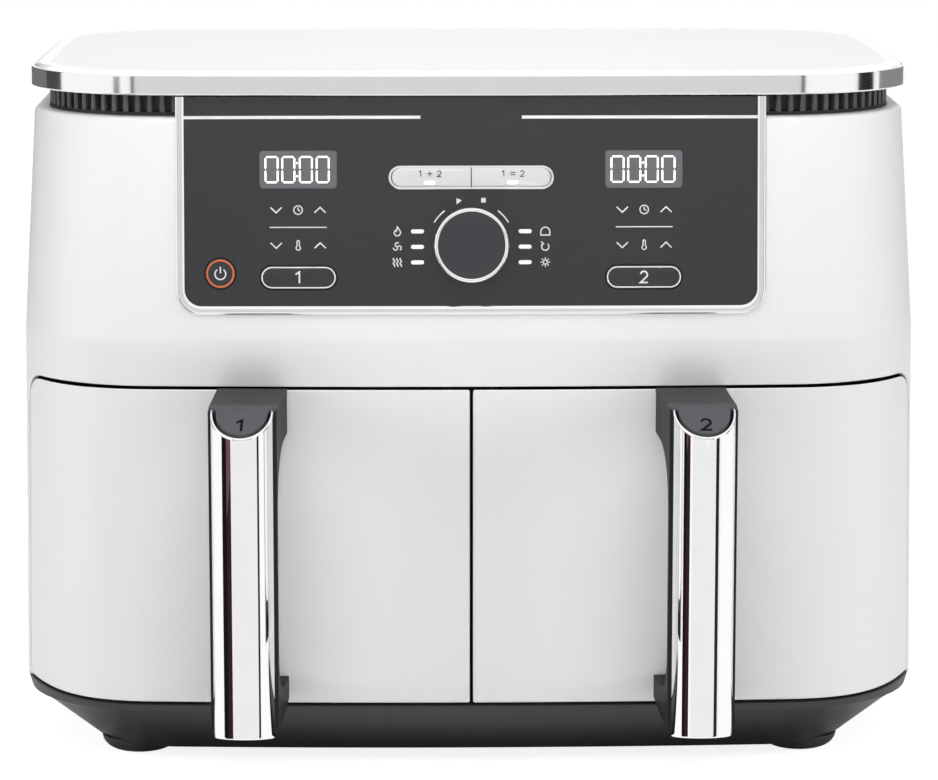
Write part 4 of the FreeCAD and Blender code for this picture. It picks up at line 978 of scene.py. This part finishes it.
    def cover(self):
        """Bright half round with a wall: up its outside from a rounded lower edge to the cap, over and down inside."""
        lower = [(0.75, 32.6, 2.3), (0.35, 32.7, 2.3), (0.1, 33.0, 2.3), (0.0, 33.4, 2.3), (0.0, HANDLE_LOW, 2.0)]
        upper = [(0.12, 0.12), (0.45, 0.0), (0.8, 0.12), (0.95, 0.5), (0.95, 8.0)]
        shares = np.concatenate([[0.006], np.linspace(0.04, 0.97, 23), [0.99, 0.996, 1]])
        rows = [self.section(shrink, self.level(z, fall)) for shrink, z, fall in lower]
        rows += [self.section(0.0, lambda out, s=s: HANDLE_LOW + (self.crown(out) - HANDLE_LOW - 0.4) * s)
                 for s in shares]
        rows += [self.section(shrink, self.under(drop)) for shrink, drop in upper]
        rows.append(self.section(1.1, self.level(HANDLE_LOW, 2.0)))
        points, faces = grid(np.stack(rows), True, False)
        columns = rows[0].shape[0]
        ends = [list(range(first, len(points), columns)) for first in (0, columns - 1)]
        return [(points, faces + [ends[0], ends[1][::-1]])]


class FRYER_OT_panel(FryerOperator, bpy.types.Operator):
    """Control panel, its bright frame, displays and light bars"""
    bl_idname = "fryer.panel"
    bl_label = "Panel"

    def build(self, scene):
        """Panel: a flat region with openings, cut into triangles and laid on the bowed face, with walls behind.

        Frame: a rounded section carried down one side, round the lower corners and up the other.
        """
        half, low, corner, top, straight = 128.5, 3.5, 8.0, 97.2, 14
        face, back = 0.6, -2.2
        across = np.linspace(-112, 112, 29)
        a = np.radians(np.linspace(0, 90, 9))
        bend = np.stack([np.sin(a), 1 - np.cos(a)], -1) * corner
        inner = np.concatenate([course(half, np.linspace(top, straight, 10)),
                                (np.array([half - corner, low]) + bend)[::-1],
                                course(across[::-1], low),
                                np.array([corner - half, low]) + bend * [-1, 1],
                                course(-half, np.linspace(straight, top, 10))])
        openings = [rounded(s * ZONE_U, SCREEN_V, *SCREEN_SIZE) for s in (-1, 1)]
        openings += [rounded(s * ZONE_U, ZONE_V, *ZONE_SIZE) for s in (-1, 1)]
        openings += [rounded(0, MODE_V, 73.8, 10.6, 5.25, 12), ring_path(POWER_U, POWER_V, 7.2)[::-1],
                     ring_path(0, DIAL_V, 15.4)[::-1]]
        openings += [rounded(s * BAR_U, v, *BAR_SIZE, 6) for s in (-1, 1) for v in BAR_ROWS]
        loops = [np.concatenate([inner, course(across, top)])] + openings
        spots, tris = cut_flat(loops, np.linspace(-124, 124, 51), np.linspace(7, 94, 18))
        parts = [(on_panel(*spots.T, face), tris.tolist()), (on_panel(*spots.T, back), tris[:, ::-1].tolist())]
        parts += [grid(np.stack([on_panel(*p.T, n) for n in (back, face)]), False, True) for p in loops]
        piece("panel_plate", parts, "panel_face", nodes=["control_panel"])
        section = [(-0.4, -1.0), (-0.4, 0.9), (0.2, 1.35), (1.0, 1.6), (2.6, 1.6), (3.2, 1.35), (3.5, 0.8), (3.5, -1.0)]
        step = np.gradient(inner, axis=0)
        step /= np.hypot(*step.T)[:, None]
        away = np.stack([-step[:, 1], step[:, 0]], -1)
        rows = np.stack([on_panel(*(inner + away * d).T, n) for d, n in section], 1)
        piece("panel_frame", [solid(rows)], "bright_trim", nodes=["panel_bezel"], sharp=50.0)
        for number, side in SIDES:
            glass = pad(side * ZONE_U, SCREEN_V, *SCREEN_SIZE, [(0.1, -1.5), (0.1, 0.45), (0.25, 0.6)])
            piece("display_glass_" + number, [solid(glass)], "display_face", nodes=["display_window_" + number])
        lens = [(0, -1.4), (0, 0.6), (0.12, 0.7)]
        bars = [solid(pad(s * BAR_U, v, 5.8, 1.8, 0.88, lens, 6)) for s in (-1, 1) for v in BAR_ROWS]
        piece("light_bars", bars, "clear_lens", nodes=["indicator_lenses"])


class FRYER_OT_keys(FryerOperator, bpy.types.Operator):
    """Keys, mode bar and dial"""
    bl_idname = "fryer.keys"
    bl_label = "Keys and dial"

    def build(self, scene):
        """Keys: rounded outlines raised with a soft edge. Dial: rings round its axis at (radius, level) pairs."""
        soft = [(0.3, -2.0), (0.3, 0.5), (0.4, 0.75), (0.65, 0.9)]
        for number, side in SIDES:
            piece("zone_cap_" + number, [solid(pad(side * ZONE_U, ZONE_V, *ZONE_SIZE, soft))], "key_plastic",
                  "zone_button_" + number, ["zone_key_" + number])
        button = [(6.9, -2.0), (6.9, 0.5), (6.75, 0.78), (6.4, 0.9)]
        piece("power_cap", [solid(lathe(POWER_U, POWER_V, button, 48))], "key_plastic", "power_button", ["power_key"])
        bar = [(0, -1.5), (0, 1.3), (0.12, 1.55), (0.4, 1.75), (0.9, 1.85)]
        piece("mode_bar_cap", [solid(pad(0, MODE_V, 70.8, 8.4, 4.15, bar, 14))], "pale_key", "mode_bar",
              ["mode_rocker"])
        rim = [(0.0, -1.5), (0.0, 1.1), (0.15, 1.45), (0.5, 1.6), (0.95, 1.5), (1.15, 1.2), (1.2, -1.5)]
        piece("mode_rim", [hoop(pad(0, MODE_V, 73.8, 10.7, 5.3, rim, 14))], "bright_trim", nodes=["rocker_surround"],
              sharp=50.0)
        low, high = DIAL_LOW, DIAL_HIGH
        ring = [(14.7, low), (15.6, low), (16.4, low + 0.5), (16.7, low + 1.4), (16.7, high - 1.2), (16.5, high - 0.5),
                (16.1, high - 0.1), (15.6, high), (15.1, high - 0.15), (14.8, high - 0.6)]
        a = np.linspace(0, 2 * np.pi, 96, endpoint=False)
        rows = [PANEL_ORIGIN + (DIAL_V + r * np.sin(a))[:, None] * PANEL_UP + n * PANEL_OUT
                + (r * np.cos(a))[:, None] * np.array([1.0, 0, 0]) for r, n in ring]
        piece("dial_ring", [hoop(rows)], "handle_bright", "dial", ["dial_rim"], sharp=50.0)
        face = [(14.75, low), (14.75, high - 0.9), (14.3, high - 1.0), (12.0, high - 1.3), (9.0, high - 1.5),
                (5.0, high - 1.62), (1.0, high - 1.66)]
        piece("dial_dish", [solid(lathe(0, DIAL_V, face, 96))], "dial_face", "dial", ["dial_cap"])


class FRYER_OT_prints(FryerOperator, bpy.types.Operator):
    """Printed and lit marks of the panel and the keys"""
    bl_idname = "fryer.prints"
    bl_label = "Prints"

    def build(self, scene):
        """Thin raised marks in panel coordinates: lines along paths, and flat polygons, each between two levels."""
        look = scene.fryer_panel
        wide, thin = look.stroke / MM, 0.5
        piece("panel_marks", self.panel_marks(look, wide, thin, (0.55, 0.64)), "ink_white")
        self.digits(look)
        level = 0.85, 0.95
        for number, side in SIDES:
            shapes = [stroke(rounded(side * ZONE_U, ZONE_V, 32.6, 9.0, 4.45), wide, *level, True)]
            shapes += numeral(number, side * ZONE_U, ZONE_V, 5.0, 0.75, level)
            piece("zone_mark_" + number, shapes, "ink_white", "zone_button_" + number)
        level = 0.8, 0.96
        ring = [stroke(ring_path(POWER_U, POWER_V, 5.9), 0.8, *level, True)]
        piece("power_mark_ring", ring, "power_ring", "power_button")
        symbol = [stroke(ring_path(POWER_U, POWER_V - 0.2, 2.4, 35, 325, 30), 0.6, *level),
                  stroke([[POWER_U, POWER_V + 0.1], [POWER_U, POWER_V + 3.1]], 0.6, *level)]
        piece("power_mark", symbol, "ink_white", "power_button")
        lamps = [tiles([rounded(s * MODE_U, MODE_V - 2.3, 4.9, 1.5, 0.7, 6)], 1.8, 1.93) for s in (-1, 1)]
        piece("mode_lamps", lamps, "lit_marks", "mode_bar")
        piece("mode_marks", self.mode_marks(MODE_V + 1.7, (1.8, 1.92)), "ink_dark", "mode_bar")

    def panel_marks(self, look, wide, thin, level):
        """Stripes, arrows, rules and small pictures of the panel's face."""
        marks = []
        for s in (-1, 1):
            marks.append(stroke(course(s * np.linspace(22.6, 128.7, 20), STRIPE_V), look.stripe / MM, *level))
            for across, up in ((-9.8, -1), (9.8, 1)):
                arrow = np.array([[-2.5, -1.2 * up], [0, 1.2 * up], [2.5, -1.2 * up]])
                marks += [stroke(arrow + [s * ARROW_U + across, v], wide, *level) for v in (TIME_V, HEAT_V)]
            marks.append(stroke(course(s * ARROW_U + np.array([-12.7, 0, 12.7]), RULE_V), thin, *level))
            marks.append(stroke(ring_path(0, DIAL_V, 19.3, s * 38, s * 59, 12), 0.6, *level))
            signs = self.clock(s * ARROW_U, TIME_V) + self.thermometer(s * ARROW_U, HEAT_V)
            marks += [self.sign(p, thin, level) for p in signs]
        marks += [self.sign(p, 0.55, level) for p in self.programmes()]
        start = [[-6.6, 49.2], [-6.6, 52.0], [-4.2, 51.0]]
        stop = [[4.4, 50.0], [4.4, 52.1], [6.5, 52.1], [6.5, 50.0]]
        return marks + [tiles([start], *level), tiles([stop], *level)]

    def mode_marks(self, v, level):
        """A dividing line, and on each half a 1 and a 2 with two crossed or two level bars between them."""
        thin, bar, apart = 0.4, 1.1, 0.5
        plus = [[[-bar, 0], [bar, 0]], [[0, -bar], [0, bar]]]
        equal = [[[-bar, -apart], [bar, -apart]], [[-bar, apart], [bar, apart]]]
        lines = [stroke([[0, MODE_V - 4.2], [0, MODE_V + 4.2]], 0.45, *level)]
        for u, between in ((-MODE_U, plus), (MODE_U, equal)):
            lines += numeral("1", u - 4.2, v, 2.6, thin, level) + numeral("2", u + 4.2, v, 2.6, thin, level)
            lines += [stroke(np.array(line) + [u, v], thin, *level) for line in between]
        return lines

    def sign(self, line, width, level):
        """A line along a path, joined up where the path ends at its start."""
        line = np.asarray(line, float)
        closed = bool(np.allclose(line[0], line[-1]))
        return stroke(line[:-1] if closed else line, width, *level, closed)

    def clock(self, u, v):
        """A round clock with two hands."""
        ring = ring_path(u, v, 1.9, 0, 359.9, 33)
        return [np.concatenate([ring, ring[:1]]), [[u, v + 1.2], [u, v], [u + 0.9, v - 0.4]]]

    def thermometer(self, u, v):
        """A bulb with a stem."""
        bulb = ring_path(u, v - 1.1, 0.95, 35, 325, 24)
        stem = ring_path(u, v + 1.7, 0.5, -90, 90, 9)
        return [np.concatenate([stem, bulb, stem[:1]])]

    def programmes(self):
        """Simple pictures beside the six light bars: flame, fan, waves, loaf, round arrow and sun."""
        left, right = -33.0, 33.0
        low, middle, high = BAR_ROWS
        flame = np.array([[0, 2.0], [1.0, 0.7], [1.5, -0.5], [0.9, -1.7], [0, -2.0], [-0.9, -1.7], [-1.5, -0.5],
                          [-0.9, 0.5], [-0.4, 0.1], [0, 2.0]]) + [left, high]
        turns = [ring_path(left + 0.95 * math.sin(t), middle + 0.95 * math.cos(t), 0.95, math.degrees(t) + 180,
                           math.degrees(t) + 400, 14) for t in np.radians([0, 120, 240])]
        t = np.linspace(-1.9, 1.9, 13)
        waves = [np.stack([left + x + 0.35 * np.sin(t * 3.2), low + t], -1) for x in (-1.5, 0, 1.5)]
        loaf = np.concatenate([ring_path(right, high - 0.2, 2.0, -90, 90, 15),
                               np.array([[2.0, -1.7], [-2.0, -1.7], [-2.0, -0.2]]) + [right, high]])
        arrow = [ring_path(right, middle, 1.6, 40, 330, 24),
                 np.array([[-1.9, 2.3], [-0.8, 1.4], [-1.9, 0.6]]) + [right, middle]]
        ring = ring_path(right, low, 0.95, 0, 359.9, 21)
        rays = np.stack([ring_path(right, low, r, count=8) for r in (1.5, 2.1)], 1)
        return [flame, *turns, *waves, loaf, *arrow, np.concatenate([ring, ring[:1]]), *rays]

    def digits(self, look):
        """Seven-segment zeros and a colon on each display, as long hexagons."""
        level, clear = (0.5, 0.68), 0.22
        tall = look.digit_height / MM
        bar = tall * 0.072
        wide, tall = tall * 0.515 - bar, tall - bar
        ends = np.array([[-1, 1], [1, 1], [1, 0], [1, -1], [-1, -1], [-1, 0]]) * [wide / 2, tall / 2]
        along = np.roll(ends, -1, 0) - ends
        along /= np.hypot(*along.T)[:, None]
        side, tip = np.stack([-along[:, 1], along[:, 0]], -1) * bar / 2, along * bar / 2
        a, b = ends + along * clear, np.roll(ends, -1, 0) - along * clear
        zero = np.stack([a, a + tip + side, b - tip + side, b, b - tip - side, a + tip - side], 1)
        for number, s in SIDES:
            zeros = [zero + [s * ZONE_U + across, SCREEN_V] for across in (-11.85, -4.35, 3.45, 10.95)]
            dots = [ring_path(s * ZONE_U - 0.45, SCREEN_V + up, 0.5, count=16)[::-1] for up in (-2.9, 2.9)]
            piece("display_digits_" + number, [tiles(np.concatenate(zeros), *level), tiles(dots, *level)], "lit_marks")


class FRYER_OT_inner(FryerOperator, bpy.types.Operator):
    """Materials of the pieces that keep their own mesh"""
    bl_idname = "fryer.inner"
    bl_label = "Inner pieces"

    def build(self, scene):
        """Gives every node of the record the material of its slot."""
        for row in frame["record"]["subparts"]:
            made = frame["nodes"][row["node"]]
            made.data.materials.clear()
            made.data.materials.append(FINISHES[row["material_slot"]])


class FRYER_OT_stage(FryerOperator, bpy.types.Operator):
    """Floor, lights, camera, and tones that the bright trim reflects"""
    bl_idname = "fryer.stage"
    bl_label = "Stage"

    def build(self, scene):
        """Everything around the part, in metres; lights are (name, place, aim, size, power, spread in degrees)."""
        look = scene.fryer_stage
        self.world(scene, look)
        self.floor()
        lights = [("top_light", (0.0, -0.3, 2.0), (0, 0, 0.15), (1.8, 1.8), look.top_light, 180.0),
                  ("front_light", (0.0, -1.3, 1.8), (0, 0, 0.2), (1.6, 1.6), look.front_light, 180.0),
                  ("fascia_light", (0.0, -1.6, 0.9), (0, -0.1, 0.60), (0.2, 0.2), look.fascia_light, 30.0),
                  ("low_light", (0.0, -0.64, 0.012), (0, -0.1, 0.05), (1.0, 0.08), look.low_light, 180.0)]
        lights += [("side_light_%+d" % side, (side * 1.6, -0.5, 0.4), (side * 0.15, 0, 0.12), (0.9, 0.9),
                    look.side_light, 50.0) for side in (-1, 1)]
        for row in lights:
            self.light(*row)
        scene.view_settings.view_transform = "Standard"
        scene.view_settings.look = "None"
        self.camera(scene, look)
        for name, (first, last, low, high, tone) in CARDS.items():
            self.reflected(name, [(*first, low), (*last, low), (*last, high), (*first, high)], tone)
        self.shade()

    def camera(self, scene, look):
        """Camera at the photograph's place, turned down to the part."""
        spot, turned, down = (-0.028, -1.820, 0.4688), -0.899, 9.65
        made = bpy.data.objects.new("camera", bpy.data.cameras.new("camera"))
        scene.collection.objects.link(made)
        made.data.lens, made.data.sensor_width = look.lens, 36.0
        made.data.dof.use_dof = False
        made.data.clip_start = 0.05
        facing = Matrix.Rotation(math.radians(turned), 4, "Z") @ Matrix.Rotation(math.radians(90 - down), 4, "X")
        made.matrix_world = Matrix.Translation(spot) @ facing
        scene.camera = made

    def world(self, scene, look):
        """White where the camera, reflections and clear pieces look, an even level for the rest."""
        world = bpy.data.worlds.new("surround")
        scene.world = world
        world.use_nodes = True
        nodes, links = world.node_tree.nodes, world.node_tree.links
        rays, back = nodes.new("ShaderNodeLightPath"), nodes["Background"]
        seen = rays.outputs["Is Camera Ray"]
        for ray in ("Is Glossy Ray", "Is Transmission Ray"):
            most = nodes.new("ShaderNodeMath")
            most.operation = "MAXIMUM"
            links.new(seen, most.inputs[0])
            links.new(rays.outputs[ray], most.inputs[1])
            seen = most.outputs[0]
        level = nodes.new("ShaderNodeMapRange")
        level.inputs["To Min"].default_value = look.ambient
        level.inputs["To Max"].default_value = 1.0
        links.new(seen, level.inputs["Value"])
        links.new(level.outputs[0], back.inputs["Strength"])
        back.inputs["Color"].default_value = (1, 1, 1, 1)

    def floor(self):
        """Pale floor that looks white where it is lit and keeps the shadow, because only the camera sees its glow."""
        half, glow = 4.0, 0.85
        made = self.rectangle("floor", [(-half, -half, 0), (half, -half, 0), (half, half, 0), (-half, half, 0)])
        f = Finish("floor", Base_Color=(0.8, 0.8, 0.8, 1), Roughness=1.0, Specular_IOR_Level=0.0,
                   Emission_Color=(1, 1, 1, 1))
        seen = f.node("ShaderNodeLightPath", {}, {}, "Is Camera Ray")
        made.data.materials.append(f.set(Emission_Strength=seen * glow))
        made.visible_glossy = False

    def rectangle(self, name, corners):
        """Rectangle of the stage."""
        mesh = bpy.data.meshes.new(name)
        mesh.from_pydata(corners, [], [(0, 1, 2, 3)])
        made = bpy.data.objects.new(name, mesh)
        bpy.context.scene.collection.objects.link(made)
        return made

    def light(self, name, place, aim, size, power, spread):
        """Area light of a width and height, not seen itself."""
        data = bpy.data.lights.new(name, "AREA")
        data.shape, data.size, data.size_y, data.energy = "RECTANGLE", size[0], size[1], power
        data.spread = math.radians(spread)
        made = bpy.data.objects.new(name, data)
        bpy.context.scene.collection.objects.link(made)
        made.location = place
        made.rotation_euler = (Vector(aim) - Vector(place)).to_track_quat("-Z", "Y").to_euler()
        made.visible_camera = made.visible_glossy = False

    def shade(self):
        """Dark sheets under the part, paler towards its ends, so that the skirt reflects its own shadow."""
        near, far, z = -0.094, 0.18, 0.001
        stops = [(0.0, 0.14, 0.01), (0.14, 0.155, 0.06), (0.155, 0.17, 0.2), (0.17, 0.185, 0.5), (0.185, 0.2, 0.8)]
        for side in (-1, 1):
            for first, last, tone in stops:
                x, end = side * first, side * last
                self.reflected("under_shade", [(x, near, z), (end, near, z), (end, far, z), (x, far, z)], (tone,) * 3)

    def reflected(self, name, corners, tone):
        """A rectangle of one tone that only reflections see."""
        made = self.rectangle(name, corners)
        f = Finish(name, Base_Color=(0, 0, 0, 1), Specular_IOR_Level=0.0, Emission_Color=(*tone, 1),
                   Emission_Strength=1.0)
        made.data.materials.append(f.material)
        for ray in ("camera", "diffuse", "shadow", "transmission", "volume_scatter"):
            setattr(made, "visible_" + ray, False)


def around(first, last, reach=2.6):
    """Two plan points at azimuths in degrees to the right of the front."""
    return [(reach * math.sin(math.radians(a)), -reach * math.cos(math.radians(a))) for a in (first, last)]


# Upright cards seen in reflections: two plan points, low and high edge, tone; the first four show in the handles
CARDS = {
    "card_brown": ((-0.406, -0.504), (-0.366, -0.316), 0.07, 0.15, (0.15, 0.07, 0.09)),
    "card_shade": ((-0.406, -0.504), (-0.366, -0.316), -0.30, 0.07, (0.035, 0.016, 0.02)),
    "card_left": ((-0.366, -0.316), (-0.396, -0.217), -0.30, 0.15, (0.008, 0.008, 0.012)),
    "card_right": ((0.350, -0.437), (0.429, -0.390), -0.30, 0.15, (0.02, 0.02, 0.022)),
    "card_low": (*around(-44, 60, 2.8), -1.5, -0.12, (0.865, 0.865, 0.865)),
    "card_high": (*around(-29.5, 26.5, 2.8), -0.10, 1.4, (0.70, 0.70, 0.70)),
    "card_stripe_left": (*around(-32.0, -29.5), -0.10, 1.2, (0.05, 0.05, 0.05)),
    "card_spot_left": (*around(-46.0, -41.0), -0.10, 0.12, (0.05, 0.05, 0.05)),
    "card_stripe_right": (*around(26.5, 29.5), -0.10, 1.2, (0.03, 0.03, 0.03)),
    "card_dark_right": (*around(76, 93), -0.10, 1.2, (0.01, 0.01, 0.01)),
    "card_grey_right": (*around(100, 150), -0.10, 1.2, (0.25, 0.25, 0.25)),
    "card_dark_left": (*around(-118, -97), -0.10, 1.2, (0.06, 0.06, 0.065)),
    "card_grey_left": (*around(-165, -118), -0.10, 1.2, (0.17, 0.17, 0.18)),
}


class FRYER_PT_panel(bpy.types.Panel):
    """Sidebar with the sizes, the colours and the build steps."""
    bl_idname = "FRYER_PT_panel"
    bl_label = "Air fryer"
    bl_space_type = "VIEW_3D"
    bl_region_type = "UI"
    bl_category = "Air fryer"

    def draw(self, context):
        """One box of settings for each group, then the build steps."""
        for group in GROUPS:
            look = getattr(context.scene, group)
            box = self.layout.box()
            for value in look.__annotations__:
                box.prop(look, value)
        for step in STEPS:
            self.layout.operator(step.bl_idname)


STEPS = (FRYER_OT_inner, FRYER_OT_shell, FRYER_OT_base, FRYER_OT_lid, FRYER_OT_drawers, FRYER_OT_handles,
         FRYER_OT_panel, FRYER_OT_keys, FRYER_OT_prints, FRYER_OT_stage)
GROUPS = {"fryer_body": BodyLook, "fryer_panel": PanelLook, "fryer_finish": FinishLook, "fryer_stage": StageLook}
FINISHES = {}


def register():
    """Adds the classes and the scene's settings."""
    for kind in (*GROUPS.values(), *STEPS, FRYER_PT_panel):
        bpy.utils.register_class(kind)
    for name, kind in GROUPS.items():
        setattr(bpy.types.Scene, name, PointerProperty(type=kind))


def unregister():
    """Takes the classes and the scene's settings away."""
    for name in GROUPS:
        delattr(bpy.types.Scene, name)
    for kind in (FRYER_PT_panel, *reversed(STEPS), *GROUPS.values()):
        bpy.utils.unregister_class(kind)


def main():
    """Builds everything."""
    register()
    FINISHES.update(make_finishes(bpy.context.scene.fryer_finish))
    for step in STEPS:
        area, name = step.bl_idname.split(".")
        getattr(getattr(bpy.ops, area), name)()


if __name__ == "__main__":
    main()
